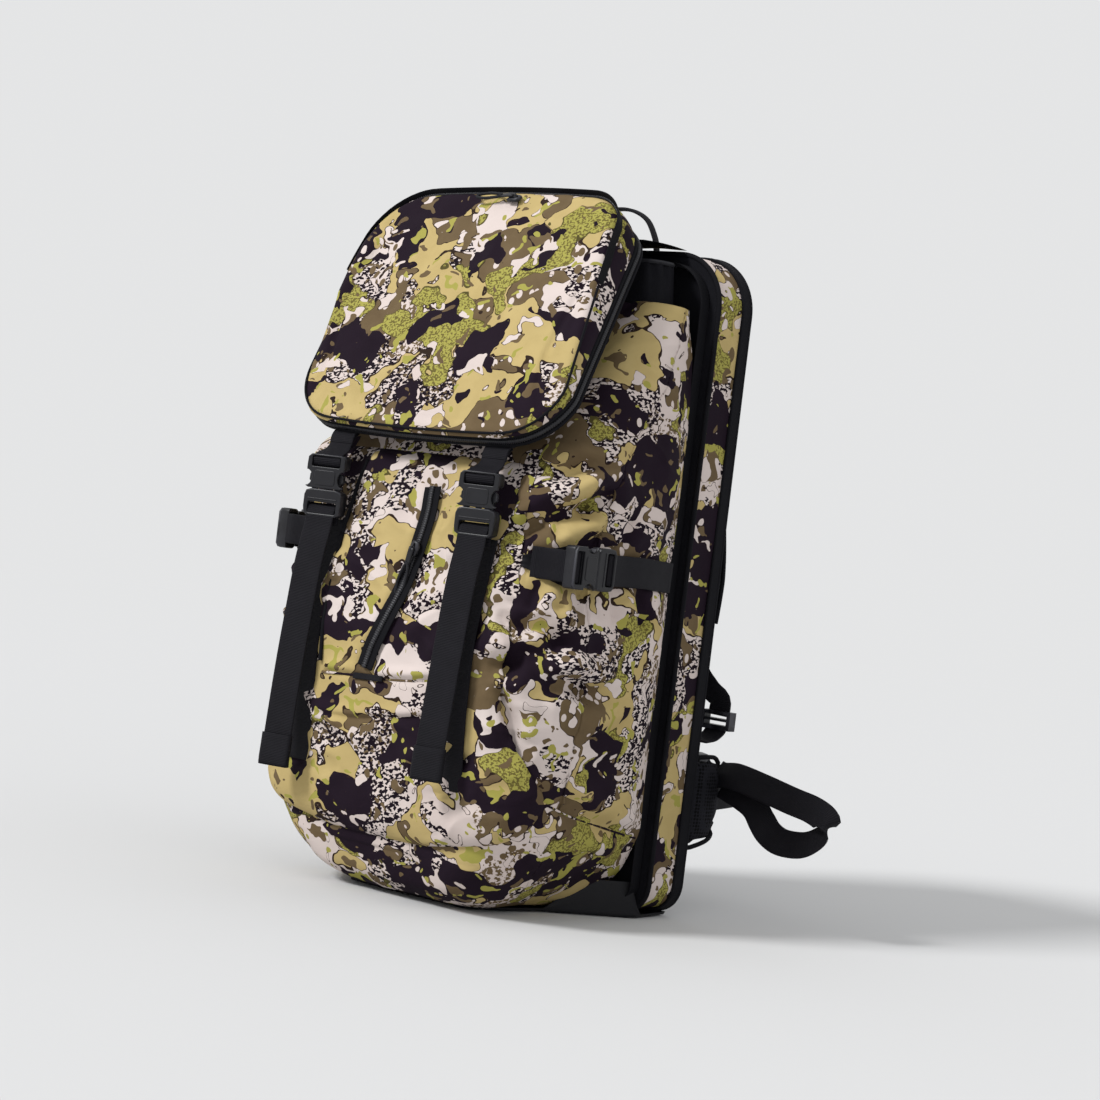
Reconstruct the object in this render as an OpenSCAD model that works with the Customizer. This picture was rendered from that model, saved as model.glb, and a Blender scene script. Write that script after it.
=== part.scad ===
// Hunting day pack: a zip-on bag carried by a framed back system, with a tilted top lid,
// shoulder harness and hip belt. +X is the bearer's left as the pack is looked at from the
// front, +Y points to the bearer's back, +Z is up, and the origin is the middle of the base.

/* [Back system] */
// Width of the framed back system
back_w = 284; // [270:1:296]
// Height of the back system above the base panel
back_h = 556; // [550:1:562]
// Thickness of the back system, front panel to rear panel
back_t = 48; // [46:1:54]

/* [Bag] */
// Greatest half width of the main bag
bag_half_w = 158; // [156:1:160]
// Fabric and lining thickness of the main bag
bag_wall = 3.5; // [3:0.5:4]

/* [Lid] */
// Lean of the lid from the horizontal, in degrees
lid_tilt = 55.7; // [55:0.1:56.5]
// Lid thickness at its rear edge
lid_rear_t = 53; // [52:1:60]
// Lid thickness at its front edge
lid_front_t = 20; // [16:1:24]

/* [Webbing] */
// Width of the lid and compression webbing
web_w = 25; // [24:1:25]
// Thickness of all webbing
web_t = 1.8; // [1.5:0.1:2]
// Distance of each lid strap from the middle
strap_x = 84; // [80:1:86]

/* [Hidden] */

camo = "#a99a6e";
black = "#17161a";
plastic = "#26252a";
grey = "#8d8f93";

y_rear = 60;                    // outer face of the rear panel
y_front = y_rear - back_t;      // front face of the back system
base_t = 4;                     // base panel thickness
$fn = 32;

// Height against depth in front of the rear panel, down the middle of the bag
bag_depth = [[4.3, 200], [12, 216], [38, 226], [72, 230], [112, 233], [160, 236],
    [220, 237], [290, 232], [345, 221], [375, 207], [420, 174], [470, 134], [505, 104]];
// Height against the greatest half width, as a share of bag_half_w
bag_width = [[4.3, 0.52], [12, 0.64], [38, 0.80], [72, 0.90], [112, 0.96], [160, 1], [225, 1],
    [263, 0.955], [287, 0.945], [311, 0.955], [345, 0.975], [375, 0.97], [470, 0.9], [505, 0.84]];
// Height against the half width where the bag meets its zip
zip_width = [[4.3, 66], [12, 92], [38, 120], [72, 134], [420, 134], [470, 130], [505, 118]];
bag_corner = 38;                // front corner radius of the bag in plan
bag_rear_y = y_front - 11;      // rear plane of the bag, where its zip tape starts

// Front pocket: height against its half width and its bulge in front of the bag
pocket_width = [[50, 44], [56, 72], [72, 92], [112, 108], [160, 111], [220, 113], [290, 116],
    [345, 110], [362, 104]];
pocket_bulge = [[50, 2], [56, 6], [72, 10], [112, 14], [160, 16], [220, 15], [290, 9],
    [345, 6], [362, 4]];

lid_rear = [0, -44, 560];       // middle of the lid base's rear edge
lid_len = 226;                  // rear edge to front edge, along the lid
hinge_yz = [14, 558.6];         // lid hinge line
buckle_z = 324;                 // mouth of the lid buckles
buckle_y = -190.5;               // middle plane of the lid buckles
buckle_turn = 18;               // turn of the hanging buckles and straps towards the side

function arc(c, r, a0, a1, n) =
    [for (i = [0:n]) let (a = a0 + (a1 - a0) * i / n) [c[0] + r * cos(a), c[1] + r * sin(a)]];
function rounded(x, z0, z1, r0, r1, n = 8) = concat(
    arc([x - r0, z0 + r0], r0, -90, 0, n), arc([x - r1, z1 - r1], r1, 0, 90, n),
    arc([-x + r1, z1 - r1], r1, 90, 180, n), arc([-x + r0, z0 + r0], r0, 180, 270, n));
function unit(v) = v / norm(v);
function depth_y(z) = y_rear - lookup(z, bag_depth);

// A closed solid through rings, each counterclockwise as seen looking back along the way of travel
module loft(rings) {
    n = len(rings[0]);
    m = len(rings);
    ones = [for (j = [1:n]) 1];
    middles = [for (r = [rings[0], rings[m - 1]]) [for (k = [0:2]) [for (p = r) p[k]] * ones / n]];
    polyhedron(concat([for (r = rings) each r], middles), concat(
        [for (i = [0:m - 2]) for (j = [0:n - 1]) let (k = (j + 1) % n)
            each [[i * n + j, (i + 1) * n + k, i * n + k],
                [i * n + j, (i + 1) * n + j, (i + 1) * n + k]]],
        [for (j = [0:n - 1]) [j, (j + 1) % n, m * n]],
        [for (j = [0:n - 1]) [(m - 1) * n + (j + 1) % n, (m - 1) * n + j, m * n + 1]]), convexity = 8);
}

// A closed band through rings, each counterclockwise from above, the last joined to the first
module sleeve(rings) {
    n = len(rings[0]);
    m = len(rings);
    polyhedron([for (r = rings) each r], [for (i = [0:m - 1]) for (j = [0:n - 1])
        let (k = (j + 1) % n, up = (i + 1) % m)
            each [[i * n + j, up * n + k, i * n + k], [i * n + j, up * n + j, up * n + k]]],
        convexity = 8);
}

// A strip along path, w wide along the direction across and t thick; sides rounds its edges
module strip(path, across, w, t, sides = 4) {
    last = len(path) - 1;
    loft([for (i = [0:last])
        let (way = unit(path[min(i + 1, last)] - path[max(i - 1, 0)]),
            b = unit(cross(way, is_list(across[0]) ? across[i] : across)), a = cross(b, way),
            wide = is_list(w) ? w[i] : w)
        [for (s = [0:sides - 1]) let (q = 360 * (s + 0.5) / sides, f = sides == 4 ? sqrt(2) : 1)
            path[i] + a * cos(q) * f * wide / 2 + b * sin(q) * f * t / 2]]);
}

// A flat rounded plate standing in the XZ plane between two depths
module upright(outline, y0, y1) {
    translate([0, y1, 0]) rotate([90, 0, 0]) linear_extrude(y1 - y0) polygon(outline);
}
module upright_ring(outer, inner, y0, y1) {
    translate([0, y1, 0]) rotate([90, 0, 0]) linear_extrude(y1 - y0) difference() {
        polygon(outer);
        polygon(inner);
    }
}
function back_outline(inset) = rounded(back_w / 2 - inset, base_t + 0.3 + max(inset, 0), back_h - inset,
    max(24 - inset, 6), max(46 - inset, 10));

// ---- Back system ----
module frame_front_panel() { color(black) upright(back_outline(0), y_front, y_front + 3); }
module side_gusset() {
    color(camo) upright_ring(back_outline(0), back_outline(3), y_front + 3, y_rear - 5.5);
}
module frame_rear_panel() { color(black) upright(back_outline(4), y_rear - 5, y_rear - 2); }
module rear_piping() {
    color(black) upright_ring(back_outline(-0.3), back_outline(4), y_rear - 5.5, y_rear - 0.5);
}
module bag_zip() {
    color(black) upright_ring(back_outline(8), back_outline(12), bag_rear_y, y_front);
}
module base_panel() {
    color(black) linear_extrude(base_t) polygon([[-130, 58], [-134, 12], [-112, -24], [-88, -64],
        [-80, -100], [-64, -127], [64, -127], [80, -100], [88, -64], [112, -24], [134, 12], [130, 58]]);
}
module frame_sheet() { color("#202225") upright(rounded(126, 22, 536, 20, 36), 16, 18); }
module frame_stays() {
    color(grey) for (side = [-1, 1]) translate([side * 60 - 7, 18, 32]) cube([14, 4, 496]);
}
module foam_core() { color("#3a3b3f") upright(rounded(134, 12, 548, 20, 38), 22, 54.5); }
module back_pads() {
    color(black) for (side = [-1, 1]) loft([for (f = [[58, 0], [62, 0], [66, 5]])
        [for (p = rounded(34 - f[1], 186 + f[1], 478 - f[1], 16, 20, 5))
            [p[0] + side * 50, f[0], p[1]]]]);
}
module lumbar_pad() {
    color(black) loft([for (f = [[58, 0], [68, 0], [74, 8]])
        [for (p = rounded(110 - f[1], 58 + f[1], 156 - f[1], 24, 30, 5)) [p[0], f[0], p[1]]]]);
}

// ---- Bag ----
function bag_half(z) = bag_half_w * lookup(z, bag_width);
function bag_ring(z, inset, side_n = 5, corner_n = 6) =
    let (w = bag_half(z) - inset, rear = lookup(z, zip_width) - inset, yr = bag_rear_y - inset,
        yf = depth_y(z) + inset, r = min(bag_corner, 0.45 * (yr - yf)), ym = max(yr - 46, yf + r),
        side = [for (i = [0:side_n]) let (t = i / side_n, s = 1 - t)
            [s * s * rear + 2 * s * t * w * 0.99 + t * t * w,
                s * s * yr + 2 * s * t * (ym + 14) + t * t * ym]])
    [for (p = concat([for (i = [0:side_n]) [-side[i][0], side[i][1]]],
        arc([-w + r, yf + r], r, 180, 270, corner_n), arc([w - r, yf + r], r, 270, 360, corner_n),
        [for (i = [side_n:-1:0]) side[i]])) [p[0], p[1], z]];
bag_levels = [4.3, 12, 38, 72, 112, 160, 220, 263, 287, 311, 345, 375, 420, 470, 505];
module main_bag() {
    top = len(bag_levels) - 1;
    color(camo) loft(concat([for (z = bag_levels) bag_ring(z, 0)],
        [bag_ring(bag_levels[top], bag_wall)],
        [for (i = [top - 1:-1:1]) bag_ring(bag_levels[i], bag_wall)]));
}
function oval(w, yf, yr, r, z) = [for (p = concat(arc([w - r, yr - r], r, 0, 90, 4),
    arc([-w + r, yr - r], r, 90, 180, 4), arc([-w + r, yf + r], r, 180, 270, 4),
    arc([w - r, yf + r], r, 270, 360, 4))) [p[0], p[1], z]];
module snow_collar() {
    color(black) sleeve([oval(116, -42, -1, 16, 505), oval(111, -38, -5, 14, 540),
        oval(109, -36, -7, 12, 540), oval(114, -40, -3, 14, 505)]);
}
module collar_cord() {
    color("#55565a") sleeve([for (i = [5:-1:0]) let (a = 60 * i, d = 1.8 * cos(a))
        oval(110 + d, -37 - d, -6 + d, 13 + d, 542.2 + 1.8 * sin(a))]);
}

// ---- Front pocket ----
function pocket_y(z) = depth_y(z) - lookup(z, pocket_bulge);
pocket_levels = [for (p = pocket_width) p[0]];
function pocket_ring(z) =
    let (w = lookup(z, pocket_width), yf = pocket_y(z), yb = depth_y(z) - 0.3,
        r = min(30, w * 0.4, (yb - yf) * 1.6))
    [for (p = concat([[w, yb], [0, yb], [-w, yb]],
        [for (i = [0:5]) let (a = 90 * i / 5) [-w + r * (1 - cos(a)), yb + (yf - yb) * sin(a)]],
        [for (i = [5:-1:0]) let (a = 90 * i / 5) [w - r * (1 - cos(a)), yb + (yf - yb) * sin(a)]]))
        [p[0], p[1], z]];
module front_pocket() { color(camo) loft([for (z = pocket_levels) pocket_ring(z)]); }
module pocket_zip() {
    path = [[16, 336], [19, 312], [18, 285], [12, 255], [1, 225], [-9, 202], [-14, 185]];
    color(black) strip([for (p = path) [p[0], pocket_y(p[1]) - 1.7, p[1]]], [1, 0, 0], 13, 1.6);
}
module pocket_band() {
    color(camo) strip([for (x = [-68, 0, 68]) [x, pocket_y(174) - 1.5, 174]], [0, 0.05, 1], 12, 1.8);
}
slide_top = [18, pocket_y(285) - 4.6, 285];
slide_way = unit([-17, pocket_y(225) - pocket_y(285), -60]);
module pocket_zip_slider() {
    color(plastic) {
        strip([slide_top + slide_way * 7, slide_top - slide_way * 7], [1, 0, 0], [9, 6], 3.6);
        strip([slide_top + slide_way * 4 + [0, -2.6, 0], slide_top + slide_way * 34 + [0, -2.6, 0]],
            [1, 0, 0], [5, 8], 1.6);
    }
}

// ---- Lid, drawn flat with its rear edge on the X axis and its front towards -Y ----
module on_lid() { translate(lid_rear) rotate([lid_tilt, 0, 0]) children(); }
function lid_thick(y) = lid_rear_t + (lid_front_t - lid_rear_t) * (-y / lid_len);
function lid_outline(inset) = let (wr = 114 - inset, wl = 146 - inset, wf = 138 - inset, wg = 142 - inset,
    yr = -inset, yf = -lid_len + inset,
    rr = max(38 - inset, 6), rl = max(50 - inset, 6), rf = max(48 - inset, 8))
    concat(arc([wr - rr, yr - rr], rr, 5, 90, 6), arc([-wl + rl, yr - rl], rl, 90, 179, 6),
        arc([-wg + rf, yf + rf], rf, 181, 270, 7), arc([wf - rf, yf + rf], rf, 270, 355, 7));
function lid_ring(inset, share, z0 = 13.2) =
    [for (p = lid_outline(inset)) [p[0], p[1], z0 + (lid_thick(p[1]) - z0) * share]];
module lid_top() {
    plug = lid_outline(9.4);
    color(camo) on_lid() loft([[for (p = plug) [p[0], p[1], 4.2]], [for (p = plug) [p[0], p[1], 13.2]],
        lid_ring(0, 0), lid_ring(0, 0.4), lid_ring(3, 0.75), lid_ring(9, 0.93),
        lid_ring(18, 1), lid_ring(60, 1)]);
}
module lid_base() { color(black) on_lid() linear_extrude(4) polygon(lid_outline(3)); }
module lid_zip_lower() {
    color(black) on_lid() translate([0, 0, 4]) linear_extrude(9) difference() {
        polygon(lid_outline(-0.6));
        polygon(lid_outline(9));
    }
}
module lid_zip_upper() {
    path = concat([[97, -78]], arc([72, -34], 18, 0, 90, 5), arc([-100, -36], 18, 90, 180, 5),
        [[-122, -78]]);
    color(black) on_lid() strip([for (p = path) [p[0], p[1], lid_thick(p[1]) + 1.4]],
        [0, 0, 1], 1.8, 9);
}
module lid_rear_flap() {
    color(black) {
        translate([-100, hinge_yz[0], hinge_yz[1]]) rotate([0, 90, 0]) cylinder(r = 1.3, h = 200);
        translate([-100, lid_rear[1] + 1.2, hinge_yz[1] - 1.1]) cube([200, 51 - 1.4, 2.2]);
    }
}
side_lean = -atan2(4, 127);     // slant of the lid's left edge
module lid_slider_lower() {
    color(plastic) on_lid() translate([-147.4, -70, 8.5]) rotate([0, 0, -side_lean])
        translate([-4.5, -7, -4]) cube([4.5, 14, 8]);
}
module lid_slider_upper() {
    color(plastic) on_lid() translate([0, -16, lid_thick(-16) + 6.2]) rotate([10, 0, 0])
        translate([-7, -4, -2]) cube([14, 8, 4]);
}

// ---- Side-release buckles, mouth at the origin, webbing of the female half towards +Z ----
module webbing_loop(span) {
    rotate([0, 90, 0]) translate([0, 0, -span / 2]) difference() {
        cylinder(r = 3.7, h = span);
        translate([0, 0, -1]) cylinder(r = 1.9, h = span + 2);
    }
}
module buckle_bar(z) { translate([-13, 0, z]) rotate([0, 90, 0]) cylinder(r = 1.6, h = 26); }
module buckle_female() {
    difference() {
        translate([-17, -6, 0]) cube([34, 12, 28]);
        translate([-18, -3.4, -1]) cube([36, 12, 17]);
        translate([-12.9, -7, 17.8]) cube([25.8, 14, 8.6]);
        translate([-12.9, 1.4, 18]) cube([25.8, 6, 11]);
    }
    buckle_bar(22.1);
}
module buckle_male() {
    difference() {
        translate([-17, -6, -23]) cube([34, 12, 22.5]);
        translate([-12.9, -7, -20.5]) cube([25.8, 14, 9]);
        translate([-12.9, -7, -24]) cube([25.8, 5.6, 5]);
    }
    buckle_bar(-16);
}
module buckle_prongs() {
    for (side = [-1, 1]) {
        translate([side * 10.4 - 2, -2.6, -0.5]) cube([4, 5.2, 13.7]);
        translate([side * 13.4 - 2, -2.6, 5]) cube([4, 5.2, 7.5]);
    }
    translate([-1.8, -2.6, -0.5]) cube([3.6, 5.2, 11.7]);
}
module at_lid_buckle(side) {
    translate([side * strap_x, buckle_y, buckle_z]) rotate([0, 0, buckle_turn]) children();
}
lid_edge = lid_rear + [0, -(lid_len + 2.5) * cos(lid_tilt) - 0.4, -(lid_len + 2.5) * sin(lid_tilt) + 0.3];
turned = [cos(buckle_turn), sin(buckle_turn), 0];
behind = 2.8 * [-sin(buckle_turn), cos(buckle_turn), 0];
module lid_strap(side) {
    middle = [side * strap_x, 0, 0];
    color(black) {
        translate(middle + lid_edge - [web_w / 2, 0, 0]) rotate([0, 90, 0]) cylinder(r = 1.2, h = web_w);
        strip([for (p = [lid_edge, [0, lid_edge[1] - 5, lid_edge[2] - 5.5],
            behind + [0, buckle_y, buckle_z + 36], behind + [0, buckle_y, buckle_z + 22.1]]) middle + p],
            [[1, 0, 0], [1, 0, 0], turned, turned], web_w, web_t);
        at_lid_buckle(side) translate([0, 0, 22.1]) webbing_loop(web_w);
    }
}
module lid_strap_left() { lid_strap(-1); }
module lid_strap_right() { lid_strap(1); }
module lid_buckle_female_left() { color(plastic) at_lid_buckle(-1) buckle_female(); }
module lid_buckle_female_right() { color(plastic) at_lid_buckle(1) buckle_female(); }
module lid_buckle_male_left() { color(plastic) at_lid_buckle(-1) buckle_male(); }
module lid_buckle_male_right() { color(plastic) at_lid_buckle(1) buckle_male(); }
module lid_buckle_prongs() { color(plastic) for (side = [-1, 1]) at_lid_buckle(side) buckle_prongs(); }
module strap_tail(side) {
    extra = side < 0 ? 14 : 0;
    color(black) at_lid_buckle(side) {
        translate([0, 0, -16]) webbing_loop(web_w);
        strip([[0, -2.8, -16], [0, -5, -28], [-2, -11, -62], [-5, -14, -110], [-9, -17, -192 - extra]],
            [1, 0, 0], web_w, web_t);
        translate([-23, -20.2, -217 - extra]) cube([28, 6.5, 27]);
    }
}
module strap_tail_left() { strap_tail(-1); }
module strap_tail_right() { strap_tail(1); }
module strap_anchors() {
    color(black) for (side = [-1, 1])
        strip([for (z = [96, 112, 160, 220, 290]) [side * strap_x, pocket_y(z) - 1.3, z]],
            [1, 0, 0], web_w, web_t);
}

// ---- Side compression straps ----
comp_z = 287;
comp_x = 159;
comp_y = -134;
groove = 5;                     // webbing's distance behind the middle of a strap buckle
comp_web_x = comp_x - groove;
corner_y = depth_y(comp_z - 24) + bag_corner;
corner_x = bag_half(comp_z - 24) - bag_corner;
module both_sides() { for (side = [0, 1]) mirror([side, 0, 0]) children(); }
module compression_patches() {
    color(black) both_sides() translate([corner_x, corner_y, comp_z - 24])
        rotate([0, 0, -66]) rotate_extrude(angle = 44, $fn = 96)
            translate([bag_corner + 0.6, 0]) square([1.6, 48]);
}
function lean(a, r) = [corner_x + r * cos(a), corner_y + r * sin(a), comp_z];
module compression_webbing() {
    color(black) both_sides() {
        strip(concat([for (a = [-62:9:-44]) lean(a, bag_corner + 3.4)],
            [[comp_web_x, comp_y - 24, comp_z]]), [0, 0, 1], web_w, web_t);
        strip([[comp_web_x, comp_y + 6, comp_z], [comp_web_x, -74, comp_z], [152.5, -46, comp_z],
            [142, -8, comp_z]], [0, 0, 1], web_w, web_t);
    }
}
module at_side(side) {
    mirror([side < 0 ? 1 : 0, 0, 0]) translate([comp_x, comp_y, comp_z])
        rotate([0, -90, 0]) rotate([90, 0, 0]) children();
}
module side_female() {
    difference() {
        translate([-17, -6, 0]) cube([34, 12, 30]);
        translate([-13.6, -3.3, -1]) cube([27.2, 6.6, 19]);
        translate([-18, -3.3, 4]) cube([36, 6.6, 10]);
        translate([-12.9, 3.7, 20]) cube([25.8, 3, 11]);
    }
}
module side_male() {
    difference() {
        translate([-17, -6, -23]) cube([34, 12, 22.5]);
        translate([-12.9, 3.7, -24]) cube([25.8, 3, 25]);
    }
    for (side = [-1, 1]) {
        translate([side * 10.4 - 2, -2.8, -0.8]) cube([4, 5.6, 16]);
        translate([side * 12.3 - 1, -2.8, 5]) cube([2, 5.6, 7.5]);
    }
    translate([-1.8, -2.8, -0.8]) cube([3.6, 5.6, 14]);
}
module compression_female_left() { color(plastic) at_side(-1) side_female(); }
module compression_female_right() { color(plastic) at_side(1) side_female(); }
module compression_male_left() { color(plastic) at_side(-1) side_male(); }
module compression_male_right() { color(plastic) at_side(1) side_male(); }

// ---- Haul loop ----
loop_y = 48;
module haul_tabs() {
    color(black) for (side = [-1, 1])
        translate([side * 42 - 6, loop_y - 10, back_h]) cube([12, 16, 1.6]);
}
module haul_loop() {
    color(black) strip(concat([[-42, loop_y, 561]], [for (p = arc([0, 566], 1, 172, 8, 9))
        [p[0] * 42, loop_y, 566 + (p[1] - 566) * 32]], [[42, loop_y, 561]]), [0, 1, 0], 7, 3.2);
}

// ---- Shoulder harness ----
harness_yz = [68, 541];
function shoulder(side) = [for (p = [[44, 68, 540], [46, 78, 500], [51, 92, 450], [62, 99, 400],
    [78, 102, 340], [93, 98, 285], [104, 91, 234]]) [side * p[0], p[1], p[2]]];
shoulder_w = [66, 68, 68, 66, 62, 54, 34];
module shoulder_strap(side) {
    color(black) strip(shoulder(side), [1, 0, 0], shoulder_w, 12, 10);
}
module shoulder_strap_left() { shoulder_strap(-1); }
module shoulder_strap_right() { shoulder_strap(1); }
lock_z = 160;                   // underside of the ladder locks
module shoulder_webbing() {
    color(black) for (side = [-1, 1]) {
        strip([[side * 105.5, 90, 233], [side * 110, 88, 210], [side * 123, 91, 194],
            [side * 134, 93.5, lock_z + 25], [side * 134, 93.5, lock_z + 16.4]], [1, 0, 0], 22, web_t);
        strip([[side * 134, 92, lock_z - 0.4], [side * 134, 90, lock_z - 6], [side * 134, 78, lock_z - 11],
            [side * 134, 66, lock_z - 10]], [1, 0, 0], 22, web_t);
    }
}
module ladder_locks() {
    color(plastic) for (side = [-1, 1]) translate([side * 134 - 15, 89, lock_z]) difference() {
        cube([30, 9, 16]);
        translate([3.5, -1, 4]) cube([23, 11, 3.4]);
        translate([3.5, -1, 9.6]) cube([23, 11, 3.4]);
    }
}
module load_lifters() {
    color(black) for (side = [-1, 1])
        strip([[side * 40, 77, 535], [side * 46, 96, 500], [side * 51, 102, 458]], [1, 0, 0], 20, web_t);
}
sternum_z = 392;
sternum_y = 112.5;
sternum_scale = 0.8;
sternum_web_y = sternum_y - groove * sternum_scale;
module sternum_straps() {
    color(black) for (side = [-1, 1])
        strip([[side * 62, sternum_web_y, sternum_z],
            [side * (side < 0 ? 17.5 : 4), sternum_web_y, sternum_z]], [0, 0, 1], 19, 1.4);
}
module across_back() {
    translate([0, sternum_y, sternum_z]) rotate([0, -90, 0]) rotate([0, 0, 180])
        scale(sternum_scale) children();
}
module sternum_female() { color(plastic) across_back() side_female(); }
module sternum_male() { color(plastic) across_back() side_male(); }

// ---- Hip belt ----
wing_path = [[120, 71, 96], [126, 86, 97], [128, 102, 103], [124, 118, 104]];
module wing(side) {
    color(black) strip([for (p = wing_path) [side * p[0], p[1], p[2]]], [0, 0, 1],
        [88, 84, 72, 50], 11, 10);
}
module hip_wing_left() { wing(-1); }
module hip_wing_right() { wing(1); }
belt_y = 172;
belt_z = 106;
belt_scale = 1.35;
belt_mouth = 34;                // mouth of each hip buckle half, from the middle
belt_end = [belt_mouth + 21 * belt_scale, belt_mouth + 8];
function belt_run(side) = [for (p = [[123.8, 121, belt_z], [121, 144, belt_z], [113, 164, belt_z],
    [98, belt_y, belt_z], [belt_end[side < 0 ? 0 : 1], belt_y, belt_z]]) [side * p[0], p[1], p[2]]];
belt_tail = [[133.4, 112, 120], [152, 104, 122], [184, 98, 118], [216, 96, 112], [246, 96, 106],
    [258, 96, 98], [254, 96, 86], [236, 96, 76], [212, 96, 76], [190, 98, 88], [176, 102, 100]];
module hip_webbing_left() { color(black) strip(belt_run(-1), [0, 0, 1], 33, web_t); }
module hip_webbing_right() {
    color(black) {
        strip(belt_run(1), [0, 0, 1], 33, web_t);
        strip(belt_tail, [0, 0.35, 1], 24, web_t);
    }
}
module across_belt(x) {
    translate([x, belt_y + groove * belt_scale, belt_z]) rotate([0, -90, 0]) rotate([0, 0, 180])
        scale(belt_scale) children();
}
module hip_female() { color(plastic) across_belt(-belt_mouth) side_female(); }
module hip_male() { color(plastic) across_belt(belt_mouth) side_male(); }

frame_front_panel();
side_gusset();
frame_rear_panel();
rear_piping();
bag_zip();
base_panel();
frame_sheet();
frame_stays();
foam_core();
back_pads();
lumbar_pad();
main_bag();
snow_collar();
collar_cord();
front_pocket();
pocket_zip();
pocket_band();
pocket_zip_slider();
lid_top();
lid_base();
lid_zip_lower();
lid_zip_upper();
lid_rear_flap();
lid_slider_lower();
lid_slider_upper();
lid_strap_left();
lid_strap_right();
lid_buckle_female_left();
lid_buckle_female_right();
lid_buckle_male_left();
lid_buckle_male_right();
lid_buckle_prongs();
strap_tail_left();
strap_tail_right();
strap_anchors();
compression_patches();
compression_webbing();
compression_female_left();
compression_female_right();
compression_male_left();
compression_male_right();
haul_tabs();
haul_loop();
shoulder_strap_left();
shoulder_strap_right();
shoulder_webbing();
ladder_locks();
load_lifters();
sternum_straps();
sternum_female();
sternum_male();
hip_wing_left();
hip_wing_right();
hip_webbing_left();
hip_webbing_right();
hip_female();
hip_male();
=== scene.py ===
"""Hunting day pack: fabric, webbing, zips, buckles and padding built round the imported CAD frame."""
import math

import bpy
import numpy as np
from mathutils import Matrix, Vector, noise


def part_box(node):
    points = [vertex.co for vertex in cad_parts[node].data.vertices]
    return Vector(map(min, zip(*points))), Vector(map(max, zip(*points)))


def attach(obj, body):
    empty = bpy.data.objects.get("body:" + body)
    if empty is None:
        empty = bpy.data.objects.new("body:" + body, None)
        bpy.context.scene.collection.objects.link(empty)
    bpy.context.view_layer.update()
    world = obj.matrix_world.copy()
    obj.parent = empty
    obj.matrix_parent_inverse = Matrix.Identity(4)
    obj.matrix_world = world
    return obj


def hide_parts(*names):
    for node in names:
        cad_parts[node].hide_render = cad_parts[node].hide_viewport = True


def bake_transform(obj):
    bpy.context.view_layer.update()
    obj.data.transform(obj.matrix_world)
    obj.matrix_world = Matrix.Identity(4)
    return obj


MM = 0.001
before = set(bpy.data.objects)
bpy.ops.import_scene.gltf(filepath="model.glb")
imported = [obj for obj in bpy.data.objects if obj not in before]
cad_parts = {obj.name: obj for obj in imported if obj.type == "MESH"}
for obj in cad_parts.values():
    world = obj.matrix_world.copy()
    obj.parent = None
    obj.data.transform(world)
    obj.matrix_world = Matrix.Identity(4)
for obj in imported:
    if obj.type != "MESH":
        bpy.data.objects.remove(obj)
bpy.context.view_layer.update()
SIDES = ((-1, "left"), (1, "right"))


# ---------------------------------------------------------------- places taken from the frame

def node_box(name):
    """Lowest and highest corner of a CAD node, in millimetres."""
    low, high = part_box(name)
    return np.array(low) / MM, np.array(high) / MM


def shared(side, *nodes):
    """CAD nodes that hold both sides: the right piece stands for them."""
    return nodes if side > 0 else ()


# ---------------------------------------------------------------- camera, lights and floor

AZIMUTH = math.radians(39.6)
ELEVATION = math.radians(0.8)
ROLL = math.radians(6.9)
DISTANCE = 2.2
LENS = 85.7
TARGET = Vector((0, -0.065, 0.3))
AIM_RIGHT, AIM_DOWN = 0.0433, 0.0097
SKY = (0.78, 0.785, 0.79, 1)
SUN_POWER, SUN_WIDTH, SUN_WAY = 2.6, 12, (0.38, 1.0, -0.9)
FILL_PLACE, FILL_LOOK, FILL_SIZE, FILL_POWER = (2.6, -1.4, 1.4), (0, -0.05, 0.3), 1.8, 4
FLOOR_ALBEDO = (0.594, 0.596, 0.599, 1)
FLOOR_RADIUS, FLOOR_SIDES, FLOOR_Z = 12, 96, -0.0004
FADE_RADIUS, FADE_WIDTH = 3.2, 3.6


def add_object(name, data):
    made = bpy.data.objects.new(name, data)
    bpy.context.scene.collection.objects.link(made)
    return made


def make_camera():
    out = Vector((math.sin(AZIMUTH) * math.cos(ELEVATION), -math.cos(AZIMUTH) * math.cos(ELEVATION),
                  math.sin(ELEVATION)))
    right = Vector((math.cos(AZIMUTH), math.sin(AZIMUTH), 0))
    up = out.cross(right)
    rolled_right = right * math.cos(ROLL) + up * math.sin(ROLL)
    rolled_up = up * math.cos(ROLL) - right * math.sin(ROLL)
    aim = TARGET + rolled_right * AIM_RIGHT - rolled_up * AIM_DOWN
    data = bpy.data.cameras.new("camera")
    data.lens = LENS
    data.sensor_width = 36
    camera = add_object("camera", data)
    turn = Matrix((rolled_right, rolled_up, out)).transposed()
    camera.matrix_world = Matrix.Translation(aim + out * DISTANCE) @ turn.to_4x4()
    bpy.context.scene.camera = camera


def aimed(way):
    """Rotation that turns a light's own beam to a direction."""
    return Vector(way).to_track_quat("-Z", "Y").to_euler()


def make_lights():
    sky = bpy.context.scene.world.node_tree.nodes["Background"]
    sky.inputs["Color"].default_value = SKY
    sky.inputs["Strength"].default_value = 1.0
    sun = bpy.data.lights.new("key", "SUN")
    sun.energy = SUN_POWER
    sun.angle = math.radians(SUN_WIDTH)
    add_object("key", sun).rotation_euler = aimed(SUN_WAY)
    fill = bpy.data.lights.new("fill", "AREA")
    fill.energy = FILL_POWER
    fill.size = FILL_SIZE
    lamp = add_object("fill", fill)
    lamp.location = FILL_PLACE
    lamp.rotation_euler = aimed(Vector(FILL_LOOK) - Vector(FILL_PLACE))


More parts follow.
